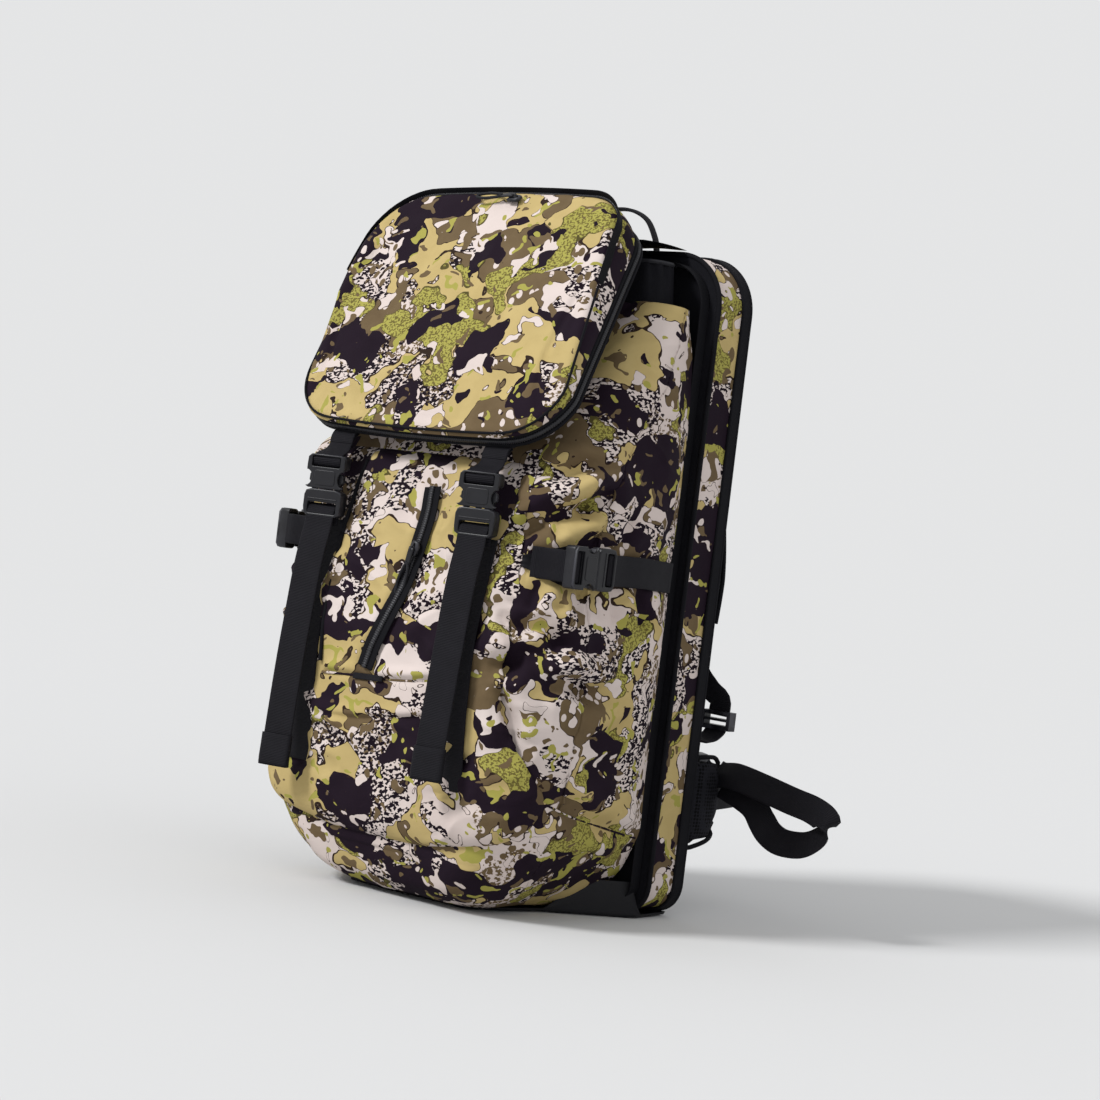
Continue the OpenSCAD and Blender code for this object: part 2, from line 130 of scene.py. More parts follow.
def make_stage():
    scene = bpy.context.scene
    scene.view_settings.view_transform = "Standard"
    scene.world = bpy.data.worlds.new("studio")
    scene.world.use_nodes = True
    make_lights()
    mesh = bpy.data.meshes.new("floor")
    angles = [i * math.tau / FLOOR_SIDES for i in range(FLOOR_SIDES)]
    rim = [(FLOOR_RADIUS * math.cos(a), FLOOR_RADIUS * math.sin(a), FLOOR_Z) for a in angles]
    fan = [(0, i + 1, (i + 1) % FLOOR_SIDES + 1) for i in range(FLOOR_SIDES)]
    mesh.from_pydata([(0, 0, FLOOR_Z)] + rim, [], fan)
    floor = add_object("floor", mesh)
    floor.data.materials.append(floor_material())


# ---------------------------------------------------------------- shader building

class Shader:
    """A material under construction, with short calls for the nodes used here."""

    def __init__(self, name):
        self.material = bpy.data.materials.new(name)
        self.material.use_nodes = True
        self.tree = self.material.node_tree
        self.tree.nodes.clear()
        self.out = self.node("OutputMaterial")
        self.bsdf = self.node("BsdfPrincipled")
        self.link(self.bsdf.outputs[0], self.out.inputs[0])

    def link(self, source, target):
        self.tree.links.new(source, target)

    def put(self, socket, value):
        if hasattr(value, "is_output"):
            self.link(value, socket)
        else:
            socket.default_value = value

    def node(self, kind, inputs=None, **settings):
        """Adds a node. inputs gives some of its inputs another node's socket or a constant."""
        made = self.tree.nodes.new("ShaderNode" + kind)
        for key, value in settings.items():
            setattr(made, key, value)
        for key, value in (inputs or {}).items():
            self.put(made.inputs[key], value)
        return made

    def math(self, operation, a, b=0.0, clamp=False):
        return self.node("Math", {0: a, 1: b}, operation=operation, use_clamp=clamp).outputs[0]

    def vector(self, operation, a, b):
        return self.node("VectorMath", {0: a, 1: b}, operation=operation).outputs[0]

    def place(self, scale=(1, 1, 1), shift=(0, 0, 0), turn=(0, 0, 0)):
        """The piece's own coordinates, scaled, moved and turned."""
        where = self.node("TexCoord").outputs["Object"]
        inputs = {"Vector": where, "Scale": scale, "Location": shift, "Rotation": turn}
        return self.node("Mapping", inputs).outputs[0]

    def noise(self, where, scale, detail=2.0, rough=0.5, output="Fac"):
        inputs = {"Vector": where, "Scale": scale, "Detail": detail, "Roughness": rough}
        return self.node("TexNoise", inputs).outputs[output]

    def cells(self, where, scale, rand=1.0):
        """Distance to the middle of the nearest cell."""
        inputs = {"Vector": where, "Scale": scale, "Randomness": rand}
        return self.node("TexVoronoi", inputs).outputs["Distance"]

    def step(self, value, edge, soft=0.0):
        """0 below edge and 1 above it, over a width of soft."""
        if soft == 0:
            return self.math("GREATER_THAN", value, edge)
        inputs = {"Value": value, "From Min": edge - soft / 2, "From Max": edge + soft / 2}
        return self.node("MapRange", inputs, interpolation_type="SMOOTHSTEP").outputs[0]

    def mix(self, share, a, b):
        """Colour a where share is 0 and b where it is 1."""
        return self.node("Mix", {0: share, 6: a, 7: b}, data_type="RGBA").outputs[2]

    def bump(self, height, strength, distance, normal=None):
        inputs = {"Strength": strength, "Distance": distance, "Height": height}
        if normal is not None:
            inputs["Normal"] = normal
        return self.node("Bump", inputs).outputs[0]

    def finish(self, colour, rough, normal=None, **fixed):
        self.put(self.bsdf.inputs["Base Color"], colour)
        self.put(self.bsdf.inputs["Roughness"], rough)
        if normal is not None:
            self.put(self.bsdf.inputs["Normal"], normal)
        for key, value in fixed.items():
            self.bsdf.inputs[key.replace("_", " ")].default_value = value
        return self.material


def rgb(text, gain=1.0):
    """Linear colour from an sRGB hex string."""
    parts = [int(text[i:i + 2], 16) / 255 for i in (0, 2, 4)]
    return tuple(gain * (p / 12.92 if p <= 0.04045 else ((p + 0.055) / 1.055) ** 2.4) for p in parts) + (1,)


def floor_material():
    """Matt floor that fades to the colour of the sky far from the pack."""
    s = Shader("studio_floor")
    length = s.node("VectorMath", {0: s.node("TexCoord").outputs["Object"]}, operation="LENGTH")
    far = s.step(length.outputs["Value"], FADE_RADIUS, FADE_WIDTH)
    s.finish(FLOOR_ALBEDO, 0.95, Specular_IOR_Level=0.05)
    glow = s.node("Emission", {"Color": SKY})
    blend = s.node("MixShader", {0: far, 1: s.bsdf.outputs[0], 2: glow.outputs[0]})
    s.link(blend.outputs[0], s.out.inputs[0])
    return s.material


def torn_place(s, raw):
    """Coordinates pushed about at two sizes, so that patch outlines wander and grow lobes."""
    wide = s.vector("SUBTRACT", s.noise(raw, 30, 1, 0.5, "Color"), (0.5, 0.5, 0.5))
    lobes = s.vector("SUBTRACT", s.noise(raw, 95, 0.5, 0.5, "Color"), (0.5, 0.5, 0.5))
    torn = s.vector("ADD", raw, s.vector("MULTIPLY", wide, (0.040, 0.040, 0.040)))
    return s.vector("ADD", torn, s.vector("MULTIPLY", lobes, (0.011, 0.011, 0.011)))


def camo_material(name, shift, turn=(0, 0, 0)):
    """Printed camouflage: lobed patches with thin dark outlines, worm-like speckle and groups of ovals."""
    s = Shader(name)
    raw = s.place((1, 1, 1.15), shift, turn)
    torn = torn_place(s, raw)

    def zone(offset, scale, edge, detail=1):
        return s.step(s.noise(s.vector("ADD", torn, offset), scale, detail), edge)

    def patch(colour, fill, offset, scale, edge, line=0.0, ink=None, detail=1.0):
        """Lays patches of fill over colour, with an outline of ink where line gives its width."""
        field = s.noise(s.vector("ADD", torn, offset), scale, detail)
        if line:
            colour = s.mix(s.step(field, edge - line), colour, ink)
        return s.mix(s.step(field, edge), colour, fill)

    def ovals(offset, scale, edge, size):
        where = s.vector("MULTIPLY", s.vector("ADD", raw, offset), (1, 1, 0.62))
        dots = s.math("LESS_THAN", s.cells(where, 105, rand=0.75), size)
        return s.math("MULTIPLY", dots, zone(offset, scale, edge))

    gain = 0.78
    ink, outline = rgb("1D131D", 0.7), rgb("33261F", gain)
    pale = s.mix(s.noise(raw, 9), rgb("D6C5BE", gain), rgb("E6DAD5", gain))
    brown = s.mix(s.noise(torn, 40, 3), rgb("5F4E38", gain), rgb("7B694E", gain))
    tan = s.mix(s.noise(torn, 40, 3), rgb("B6A06A", gain), rgb("CFB980", gain))
    green = s.mix(s.noise(raw, 20), rgb("A39C4C", gain), rgb("B2AD5C", gain))
    curls = s.step(s.noise(raw, 520, 1.5), 0.52, 0.05)
    flat = s.vector("MULTIPLY", raw, (1, 1, 1.45))
    worms = s.step(s.noise(s.vector("ADD", flat, (7, 3, 1)), 262, 1.2), 0.495, 0.02)
    grains = s.step(s.noise(s.vector("ADD", raw, (2, 8, 5)), 290, 1.5, 0.6), 0.52, 0.03)

    colour = s.mix(s.math("MULTIPLY", zone((0, 21, 4), 13, 0.58), grains), pale, brown)
    colour = s.mix(s.math("MULTIPLY", zone((11, 0, 4), 12, 0.48, 1.5), worms), colour, ink)
    colour = s.mix(ovals((3, 7, 1), 22, 0.57, 0.36), colour, brown)
    colour = patch(colour, tan, (3, 1, 9), 16, 0.548, 0.010, outline)
    spotted = s.mix(ovals((5, 2, 6), 26, 0.46, 0.30), brown, pale)
    colour = patch(colour, spotted, (9, 4, 2), 18, 0.605, 0.009, outline)
    leaf = s.mix(curls, green, rgb("6F6536", gain))
    colour = patch(colour, leaf, (5, 13, 7), 15, 0.642, 0.008, rgb("57502C", gain))
    dark = s.mix(s.noise(torn, 30), ink, rgb("281C29", 0.7))
    colour = patch(colour, dark, (1, 6, 15), 20, 0.541, detail=1.8)
    colour = patch(colour, pale, (17, 2, 3), 42, 0.645, 0.010, outline)
    colour = patch(colour, brown, (4, 19, 8), 58, 0.665)
    colour = patch(colour, rgb("A8A252", gain), (8, 5, 21), 60, 0.675)

    cloth = s.noise(raw, 1400, 2, 0.6)
    folds = s.noise(raw, 70, 3, 0.5)
    normal = s.bump(cloth, 0.25, 0.0004, s.bump(folds, 0.30, 0.0014))
    rough = s.math("ADD", s.math("MULTIPLY", s.noise(raw, 25), 0.12), 0.78)
    return s.finish(colour, rough, normal, Specular_IOR_Level=0.08)


def woven_material(name, base, lift, scale=900.0):
    """Plain black woven fabric with faint dust, and painted highlights on its raised thread crossings."""
    s = Shader(name)
    raw = s.place()
    across, along = (s.node("TexWave", {"Vector": raw, "Scale": scale}, bands_direction=axis).outputs["Fac"]
                     for axis in "XZ")
    weave = s.math("MULTIPLY", across, along)
    dust = s.noise(raw, 55, 4, 0.6)
    colour = s.mix(s.math("MULTIPLY", dust, 0.8), rgb(base), rgb(lift))
    # Painted highlight: the raised thread crossings are painted lighter.
    colour = s.mix(s.math("MULTIPLY", weave, 0.25), colour, rgb(lift, 1.5))
    normal = s.bump(s.noise(raw, 110, 4), 0.3, 0.001)
    normal = s.bump(weave, 0.35, 0.0004, normal)
    return s.finish(colour, 0.82, normal, Specular_IOR_Level=0.1)


def ribbed_material(name, base, lift, pitch):
    """Webbing: ribs across its length, read from the strip's own along and across attributes."""
    s = Shader(name)
    along = s.node("Attribute", attribute_name="along").outputs["Fac"]
    across = s.node("Attribute", attribute_name="across").outputs["Fac"]
    ribs = s.math("SINE", s.math("MULTIPLY", along, math.tau / (pitch * MM)))
    threads = s.math("SINE", s.math("MULTIPLY", across, math.tau / (0.9 * MM)))
    surface = s.math("ADD", s.math("MULTIPLY", ribs, 0.5), s.math("MULTIPLY", threads, 0.25))
    raw = s.place()
    wear = s.noise(raw, 60, 4, 0.6)
    # Painted light and shade: the rib crests are painted lighter and the hollows darker, mixed with real
    # dust.
    painted_rib_shade, dust = s.math("MULTIPLY", surface, 0.28), s.math("MULTIPLY", wear, 0.6)
    rib_shade_and_dust = s.math("ADD", painted_rib_shade, dust, clamp=True)
    colour = s.mix(rib_shade_and_dust, rgb(base), rgb(lift))
    normal = s.bump(surface, 0.55, 0.0005)
    normal = s.bump(wear, 0.2, 0.0008, normal)
    return s.finish(colour, 0.66, normal, Specular_IOR_Level=0.14)


def plastic_material(name):
    """Moulded plastic with a fine grain, scuffed on its edges."""
    s = Shader(name)
    raw = s.place()
    grain = s.noise(raw, 1500, 2)
    scuff = s.noise(raw, 70, 5, 0.65)
    edge = s.node("NewGeometry").outputs["Pointiness"]
    worn = s.math("MULTIPLY", s.step(edge, 0.56, 0.06), s.step(scuff, 0.5, 0.2))
    colour = s.mix(scuff, rgb("0E0E12"), rgb("18181D"))
    colour = s.mix(worn, colour, rgb("36363C"))
    rough = s.math("ADD", s.math("MULTIPLY", scuff, 0.16), 0.34)
    return s.finish(colour, rough, s.bump(grain, 0.12, 0.0002), Specular_IOR_Level=0.32)


def mesh_material(name, base, lift, holes):
    """Spacer mesh: a raised knit with small holes, painted near black as the shade inside them."""
    s = Shader(name)
    raw = s.place()
    cell = s.cells(raw, holes, rand=0.15)
    hole = s.step(cell, 0.42, 0.2)
    wear = s.noise(raw, 40, 4)
    # Painted shade: the holes are painted near black, where the knit sinks away.
    colour = s.mix(hole, rgb("070709"), s.mix(wear, rgb(base), rgb(lift)))
    normal = s.bump(hole, 0.6, 0.0008)
    return s.finish(colour, 0.85, normal, Specular_IOR_Level=0.1)


def coated_material(name):
    """Heavy coated cloth: a plain weave sunk in a slightly shiny film, scuffed low down."""
    s = Shader(name)
    raw = s.place()
    scuff = s.noise(raw, 45, 5, 0.65)
    weave = s.cells(raw, 900, rand=0.1)
    colour = s.mix(scuff, rgb("101013"), rgb("1E1E22"))
    normal = s.bump(scuff, 0.35, 0.0012)
    normal = s.bump(weave, 0.3, 0.0004, normal)
    rough = s.math("ADD", s.math("MULTIPLY", scuff, 0.2), 0.5)
    return s.finish(colour, rough, normal, Specular_IOR_Level=0.2)


def coil_material(name):
    s = Shader(name)
    raw = s.place()
    colour = s.mix(s.noise(raw, 300, 2), rgb("131316"), rgb("2C2C31"))
    return s.finish(colour, 0.42, s.bump(s.noise(raw, 900), 0.15, 0.0003), Specular_IOR_Level=0.3)


def metal_material(name):
    s = Shader(name)
    raw = s.place((1, 1, 0.03))
    brush = s.noise(raw, 900, 3)
    colour = s.mix(brush, (0.55, 0.56, 0.58, 1), (0.72, 0.72, 0.74, 1))
    return s.finish(colour, 0.35, s.bump(brush, 0.1, 0.0002), Metallic=1.0)


def foam_material(name):
    s = Shader(name)
    raw = s.place()
    cell = s.cells(raw, 700)
    colour = s.mix(s.noise(raw, 30, 3), rgb("2B2C30"), rgb("3D3E43"))
    return s.finish(colour, 0.9, s.bump(cell, 0.3, 0.0006))


MAKERS = {
    "camo_bag": (camo_material, "camo_bag", (0.31, 0.12, 0.43)),
    "camo_pocket": (camo_material, "camo_pocket", (1.37, 0.81, 0.22), (0, 0.35, 0)),
    "camo_lid": (camo_material, "camo_lid", (2.11, 0.43, 1.19), (0.5, 0.2, 0)),
    "camo_side": (camo_material, "camo_side", (0.77, 2.63, 0.51), (0, 0, 0.4)),
    "black": (woven_material, "black_nylon", "0D0D11", "18181D"),
    "zip_tape": (woven_material, "zip_tape", "0C0C0F", "16161A", 800.0),
    "coated": (coated_material, "coated_base"),
    "binding": (woven_material, "edge_binding", "0C0C10", "17171B", 700.0),
    "web": (ribbed_material, "ribbed_webbing", "0C0B10", "1E1D23", 1.25),
    "plastic": (plastic_material, "moulded_acetal"),
    "mesh": (mesh_material, "spacer_mesh", "131317", "232328", 420.0),
    "pad": (mesh_material, "pad_mesh", "141418", "26262C", 330.0),
    "coil": (coil_material, "zip_coil"),
    "metal": (metal_material, "mill_aluminium"),
    "foam": (foam_material, "closed_cell_foam"),
    "cord": (ribbed_material, "braided_cord", "18181B", "36363B", 0.8),
    "sheet": (woven_material, "frame_sheet_plastic", "232327", "2E2E33", 200.0),
}
MATS = {}


def material(key):
    """The material of this key, built the first time it is asked for."""
    if key not in MATS:
        maker, *values = MAKERS[key]
        MATS[key] = maker(*values)
    return MATS[key]


# ---------------------------------------------------------------- mesh building

def dress(mesh, mat):
    """Gives a mesh its one material and smooth shading."""
    mesh.materials.clear()
    mesh.materials.append(material(mat))
    for face in mesh.polygons:
        face.use_smooth = True


def link(mesh, name, mat, body, replaced=()):
    """Puts a mesh in the scene as a piece that rides a body and stands for some CAD nodes."""
    piece = add_object(name, mesh)
    dress(mesh, mat)
    if body:
        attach(piece, body)
    if replaced:
        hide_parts(*replaced)
    return piece


def grid_mesh(name, rows, wrap=False, caps=False, flip=False, attributes=None):
    """A mesh over a grid of points: rows[i][j]. wrap joins the last column to the first."""
    rows = np.asarray(rows, float)
    m, n = rows.shape[:2]
    verts = rows.reshape(-1, 3) * MM
    span = n if wrap else n - 1
    i, j = np.meshgrid(np.arange(m - 1), np.arange(span), indexing="ij")
    k = (j + 1) % n
    quads = np.stack([i * n + j, i * n + k, (i + 1) * n + k, (i + 1) * n + j], -1).reshape(-1, 4)
    if flip:
        quads = quads[:, ::-1]
    faces = quads.tolist()
    if caps:
        first = list(range(n))
        last = list(range((m - 1) * n, m * n))
        faces += [first if flip else first[::-1], last[::-1] if flip else last]
    mesh = bpy.data.meshes.new(name)
    mesh.from_pydata(verts.tolist(), [], faces)
    for key, values in (attributes or {}).items():
        made = mesh.attributes.new(key, "FLOAT", "POINT")
        made.data.foreach_set("value", np.asarray(values, float).ravel() * MM)
    mesh.validate()
    mesh.update()
    return mesh


def surface(name, rows, mat, body, slot, replaced=(), **form):
    """A piece made of one grid of points."""
    return link(grid_mesh(name, rows, **form), name, mat, body, replaced)


def smooth_path(points, step, closed=False):
    """Catmull-Rom curve through points, sampled about every step."""
    p = np.asarray(points, float)
    if closed:
        p = np.vstack([p[-1], p, p[0], p[1]])
    else:
        p = np.vstack([2 * p[0] - p[1], p, 2 * p[-1] - p[-2]])
    out = []
    for a, b, c, d in zip(p, p[1:], p[2:], p[3:]):
        count = max(2, int(np.linalg.norm(c - b) / step))
        for t in np.arange(count) / count:
            out.append(0.5 * (2 * b + (c - a) * t + (2 * a - 5 * b + 4 * c - d) * t * t
                              + (3 * b - a - 3 * c + d) * t ** 3))
    if not closed:
        out.append(p[-2])
    return np.array(out)


def unit(v):
    v = np.asarray(v, float)
    return v / np.maximum(np.linalg.norm(v, axis=-1, keepdims=True), 1e-12)


def tangents(path, closed=False):
    if closed:
        return unit(np.roll(path, -1, 0) - np.roll(path, 1, 0))
    return unit(np.gradient(path, axis=0))


def sweep(path, across, profile, closed=False):
    """Rings of profile points (along across, along the outer side) carried on a path."""
    way = tangents(path, closed)
    across = np.broadcast_to(np.asarray(across, float), path.shape)
    side = unit(across - way * np.sum(across * way, 1, keepdims=True))
    out = np.cross(side, way)
    profile = np.asarray(profile, float)
    if profile.ndim == 2:
        profile = np.broadcast_to(profile, (len(path),) + profile.shape)
    return path[:, None] + side[:, None] * profile[:, :, :1] + out[:, None] * profile[:, :, 1:]


def flat_profile(width, thick):
    """Cross-section of webbing: flat faces and round selvedges."""
    n, r = 7, thick / 2
    right = [(width / 2 - r + r * math.cos(a), r * math.sin(a)) for a in np.linspace(-1.45, 1.45, n)]
    left = [(-x, -y) for x, y in right]
    middle = np.linspace(0.8, -0.8, n) * (width / 2 - r)
    top = [(x, r) for x in middle]
    bottom = [(x, -r) for x in -middle]
    return np.array(right + top + left + bottom)


WEB_WIDTH, WEB_THICK = 25, 1.8


def strap_mesh(name, path, across, width, thick, closed=False):
    """Webbing along a path, with the distance along and across it for the ribbed material."""
    profile = flat_profile(width, thick)
    rings = sweep(path, across, profile, closed)
    steps = np.linalg.norm(np.diff(path, axis=0), axis=1)
    along = np.concatenate([[0], np.cumsum(steps)])
    along = np.repeat(along[:, None], len(profile), 1)
    over = np.repeat(profile[None, :, 0], len(path), 0)
    if closed:
        rings = np.vstack([rings, rings[:1]])
        along = np.vstack([along, along[-1:] + 3])
        over = np.vstack([over, over[:1]])
    return grid_mesh(name, rings, wrap=True, caps=not closed, attributes={"along": along, "across": over})


def strap(name, points, across, body, replaced=(), width=WEB_WIDTH, thick=WEB_THICK, step=3):
    """A piece of webbing. across gives its width's direction, once or at several shares of its length."""
    path = smooth_path(points, step)
    across = np.asarray(across, float)
    if across.ndim == 2:
        share = np.linspace(0, 1, len(across))
        where = np.linspace(0, 1, len(path))
        across = np.stack([np.interp(where, share, across[:, k]) for k in range(3)], 1)
    return link(strap_mesh(name, path, across, width, thick), name, "web", body, replaced)


def tube_mesh(name, path, radius, closed=False, sides=10):
    """A round tube along a path."""
    way = tangents(path, closed)
    side = np.cross(way, np.array([0, 0, 1.0]))
    weak = np.linalg.norm(side, axis=1) < 0.2
    side[weak] = np.cross(way[weak], np.array([1.0, 0, 0]))
    for i in range(1, len(side)):
        if np.dot(side[i], side[i - 1]) < 0:
            side[i] = -side[i]
    side = unit(side)
    out = np.cross(side, way)
    angles = np.arange(sides) * math.tau / sides
    circle = side[:, None] * np.cos(angles)[None, :, None] + out[:, None] * np.sin(angles)[None, :, None]
    rings = path[:, None] + radius * circle
    steps = np.arange(len(path)) * np.linalg.norm(path[1] - path[0])
    along = np.repeat(steps[:, None], sides, 1)
    over = np.repeat((angles * radius)[None], len(path), 0)
    if closed:
        rings, along, over = (np.vstack([v, v[:1]]) for v in (rings, along, over))
    return grid_mesh(name, rings, wrap=True, caps=not closed, attributes={"along": along, "across": over})


def tube(name, points, radius, mat, body, closed=False, replaced=()):
    path = smooth_path(points, 3, closed)
    return link(tube_mesh(name, path, radius, closed), name, mat, body, replaced)


def joined(name, meshes):
    """One mesh from several, keeping their attributes."""
    objects = [add_object(name, mesh) for mesh in meshes]
    with bpy.context.temp_override(active_object=objects[0], selected_editable_objects=objects):
        bpy.ops.object.join()
    mesh = objects[0].data
    bpy.data.objects.remove(objects[0])
    mesh.name = name
    return mesh


def warped(rows, amount):
    """Moves a grid of points along its own normals by amount, in mm."""
    down = np.gradient(rows, axis=0)
    over = np.gradient(rows, axis=1)
    return rows + unit(np.cross(over, down)) * amount[..., None]


def field(rows, size, seed, stretch=(1, 1, 1)):
    """Signed noise over a grid of points, with features about size mm across."""
    flat = (np.asarray(rows) / size * stretch).reshape(-1, 3)
    shift = Vector((seed, seed * 1.7, -seed))
    return np.array([noise.noise(Vector(p) + shift) for p in flat]).reshape(rows.shape[:2])


def creases(rows, size, seed, stretch=(1, 1, 1), sharp=3.0):
    """Narrow ridges: 1 along a crease, 0 away from it."""
    return np.clip(1 - sharp * np.abs(field(rows, size, seed, stretch)), 0, 1) ** 2


def near_line(rows, line):
    """Each point's distance to a polyline, its share of the way along it, and whether it lies above."""
    p = rows.reshape(-1, 3)
    line = np.asarray(line, float)
    best = np.full(len(p), 1e9)
    share, above = np.zeros(len(p)), np.zeros(len(p))
    for i, (a, b) in enumerate(zip(line, line[1:])):
        way = b - a
        t = np.clip((p - a) @ way / (way @ way), 0, 1)
        spot = a + t[:, None] * way
        far = np.linalg.norm(p - spot, axis=1)
        nearer = far < best
        best = np.where(nearer, far, best)
        share = np.where(nearer, (i + t) / (len(line) - 1), share)
        above = np.where(nearer, p[:, 2] > spot[:, 2], above)
    shape = rows.shape[:2]
    return best.reshape(shape), share.reshape(shape), above.reshape(shape)


def folded(rows, folds):
    """Sum of folds: each is (depth, width, line), a crease with a fuller roll of cloth above it."""
    out = np.zeros(rows.shape[:2])
    for depth, width, line in folds:
        far, share, above = near_line(rows, line)
        fade = np.clip(np.minimum(share, 1 - share) / 0.18, 0.25, 1)
        roll = np.exp(-((far - 2 * width) / (1.7 * width)) ** 2) * np.where(above > 0, 0.7, 0.4)
        out += depth * fade * (roll - 0.9 * np.exp(-(far / (1.2 * width)) ** 2))
    return out


def mirrored(folds, rise, gain):
    """Folds for the other side, higher by rise, with their depth scaled by gain."""
    return [(depth * gain, width, [(-x, y, z + rise) for x, y, z in line]) for depth, width, line in folds]


def lookup(table):
    """A smooth function of z through (z, value) pairs."""
    z, v = np.array(table, float).T
    fine = np.linspace(z[0], z[-1], 500)
    raw = np.interp(fine, z, v)
    reach = 14
    kernel = np.hanning(2 * reach + 1)
    padded = np.concatenate([2 * raw[0] - raw[reach:0:-1], raw, 2 * raw[-1] - raw[-2:-reach - 2:-1]])
    soft = np.convolve(padded, kernel / kernel.sum(), "valid")
    return lambda at: np.interp(at, fine, soft)


def arc(cx, cy, r, a0, a1, n=12):
    return [(cx + r * math.cos(a), cy + r * math.sin(a)) for a in np.radians(np.linspace(a0, a1, n))]


def even(points, n, closed=False):
    """n points evenly spaced along a polyline."""
    p = np.asarray(points, float)
    if closed:
        p = np.vstack([p, p[:1]])
    at = np.concatenate([[0], np.cumsum(np.linalg.norm(np.diff(p, axis=0), axis=1))])
    where = np.linspace(0, at[-1], n, endpoint=not closed)
    return np.stack([np.interp(where, at, p[:, k]) for k in range(p.shape[1])], 1)


def turn_about(axis, angle):
    return np.array(Matrix.Rotation(math.radians(angle), 3, axis))


# ---------------------------------------------------------------- bag

BAG_HALF = node_box("main_bag")[1][0]
ORIGIN_Y = 60.0
depth_of = lookup([(4.3, 200), (12, 216), (38, 226), (72, 230), (112, 233), (160, 236), (220, 237),
                   (290, 232), (345, 221), (375, 207), (420, 174), (470, 134), (505, 104)])
share_of = lookup([(4.3, .52), (12, .64), (38, .80), (72, .90), (112, .96), (160, 1), (225, 1),
                   (263, .955), (287, .945), (311, .955), (345, .975), (375, .97), (470, .9), (505, .84)])
rear_of = lookup([(4.3, 66), (12, 92), (38, 120), (72, 134), (420, 134), (470, 130), (505, 118)])
pocket_half = lookup([(48, 30), (54, 60), (60, 96), (68, 122), (80, 136), (96, 144), (106, 145), (130, 138),
                      (155, 129), (176, 119), (290, 116), (345, 112), (362, 108)])
pocket_bulge = lookup([(50, 1), (56, 5), (72, 9), (112, 13), (160, 15), (220, 14), (290, 8), (345, 5),
                       (362, 3)])
SIDE_Z = 287
PATCH = np.array([146.0, -152, SIDE_Z])


def bag_outline(z, out, n):
    """Half-round outline of the bag at height z, from its left rear edge round the front to the right."""
    w, rear, front = share_of(z) * BAG_HALF + out, rear_of(z) + out, ORIGIN_Y - depth_of(z) - out
    r = min(46, 0.45 * (1 - front))
    middle = max(-45, front + r)
    t = np.linspace(0, 1, 12)
    s = 1 - t
    side_x = s * s * rear + 2 * s * t * w * 0.99 + t * t * w
    side_y = s * s * 1 + 2 * s * t * (middle + 14) + t * t * middle
    right = list(zip(side_x, side_y))
    corner = arc(w - r, front + r, r, 0, -90)
    half = right + corner[1:]
    path = [(-x, y) for x, y in half] + half[::-1]
    flat = even(path, n)
    flat[:, 1] += 5.0 * np.clip((np.abs(flat[:, 0]) - 40) / 120, 0, 1) ** 2 * (flat[:, 1] < front + r)
    return np.column_stack([flat, np.full(n, z)])


def bag_front(x, z):
    """y of the undisturbed bag front at x and z."""
    ring = bag_outline(z, 0, 161)
    keep = ring[:, 1] < ORIGIN_Y - depth_of(z) + 50
    return np.interp(x, ring[keep, 0], ring[keep, 1])


SIDE_FOLDS = [
    (9, 7, [(96, -178, 300), (118, -164, 315), (132, -151, 326), (146, -136, 334), (153, -111, 342)]),
    (6, 6, [(142, -141, 326), (150, -126, 341), (147, -110, 353)]),
    (4, 5, [(137, -149, 318), (133, -155, 309)]),
    (6, 6, [(139, -162, 278), (133, -164, 264), (128, -168, 246)]),
    (5, 6, [(146, -149, 272), (146, -152, 262), (142, -157, 246)]),
    (6, 7, [(151, -130, 274), (155, -136, 262), (152, -140, 248)]),
    (5, 6, [(151, -92, 276), (156, -90, 262), (157, -86, 244)]),
    (5, 6, [(151, -60, 276), (156, -56, 258), (155, -52, 240)]),
    (5, 6, [(150, -88, 300), (153, -84, 318), (152, -76, 332)]),
    (9, 7, [(107, -183, 248), (118, -174, 233), (138, -163, 237), (148, -152, 228), (155, -120, 222)]),
    (8, 8, [(103, -186, 205), (116, -174, 204), (130, -169, 217), (145, -161, 216), (154, -140, 232)]),
    (7, 8, [(141, -161, 195), (154, -147, 198), (158, -122, 190), (157, -84, 187)]),
    (6, 7, [(113, -180, 194), (119, -174, 176), (125, -171, 161), (131, -168, 140)]),
    (4, 7, [(150, -120, 150), (154, -90, 158), (152, -50, 170)]),
    (5, 8, [(147, -131, 104), (151, -112, 94), (147, -83, 84), (140, -45, 76), (130, -14, 67)]),
    (4, 6, [(152, -60, 215), (150, -30, 226), (140, -8, 240)]),
    (4, 6, [(120, -160, 352), (140, -130, 366), (148, -90, 372)]),
]


FOOT_SEAM = [(152, 102), (166, 96), (196, 88), (232, 80), (262, 73), (288, 68)]


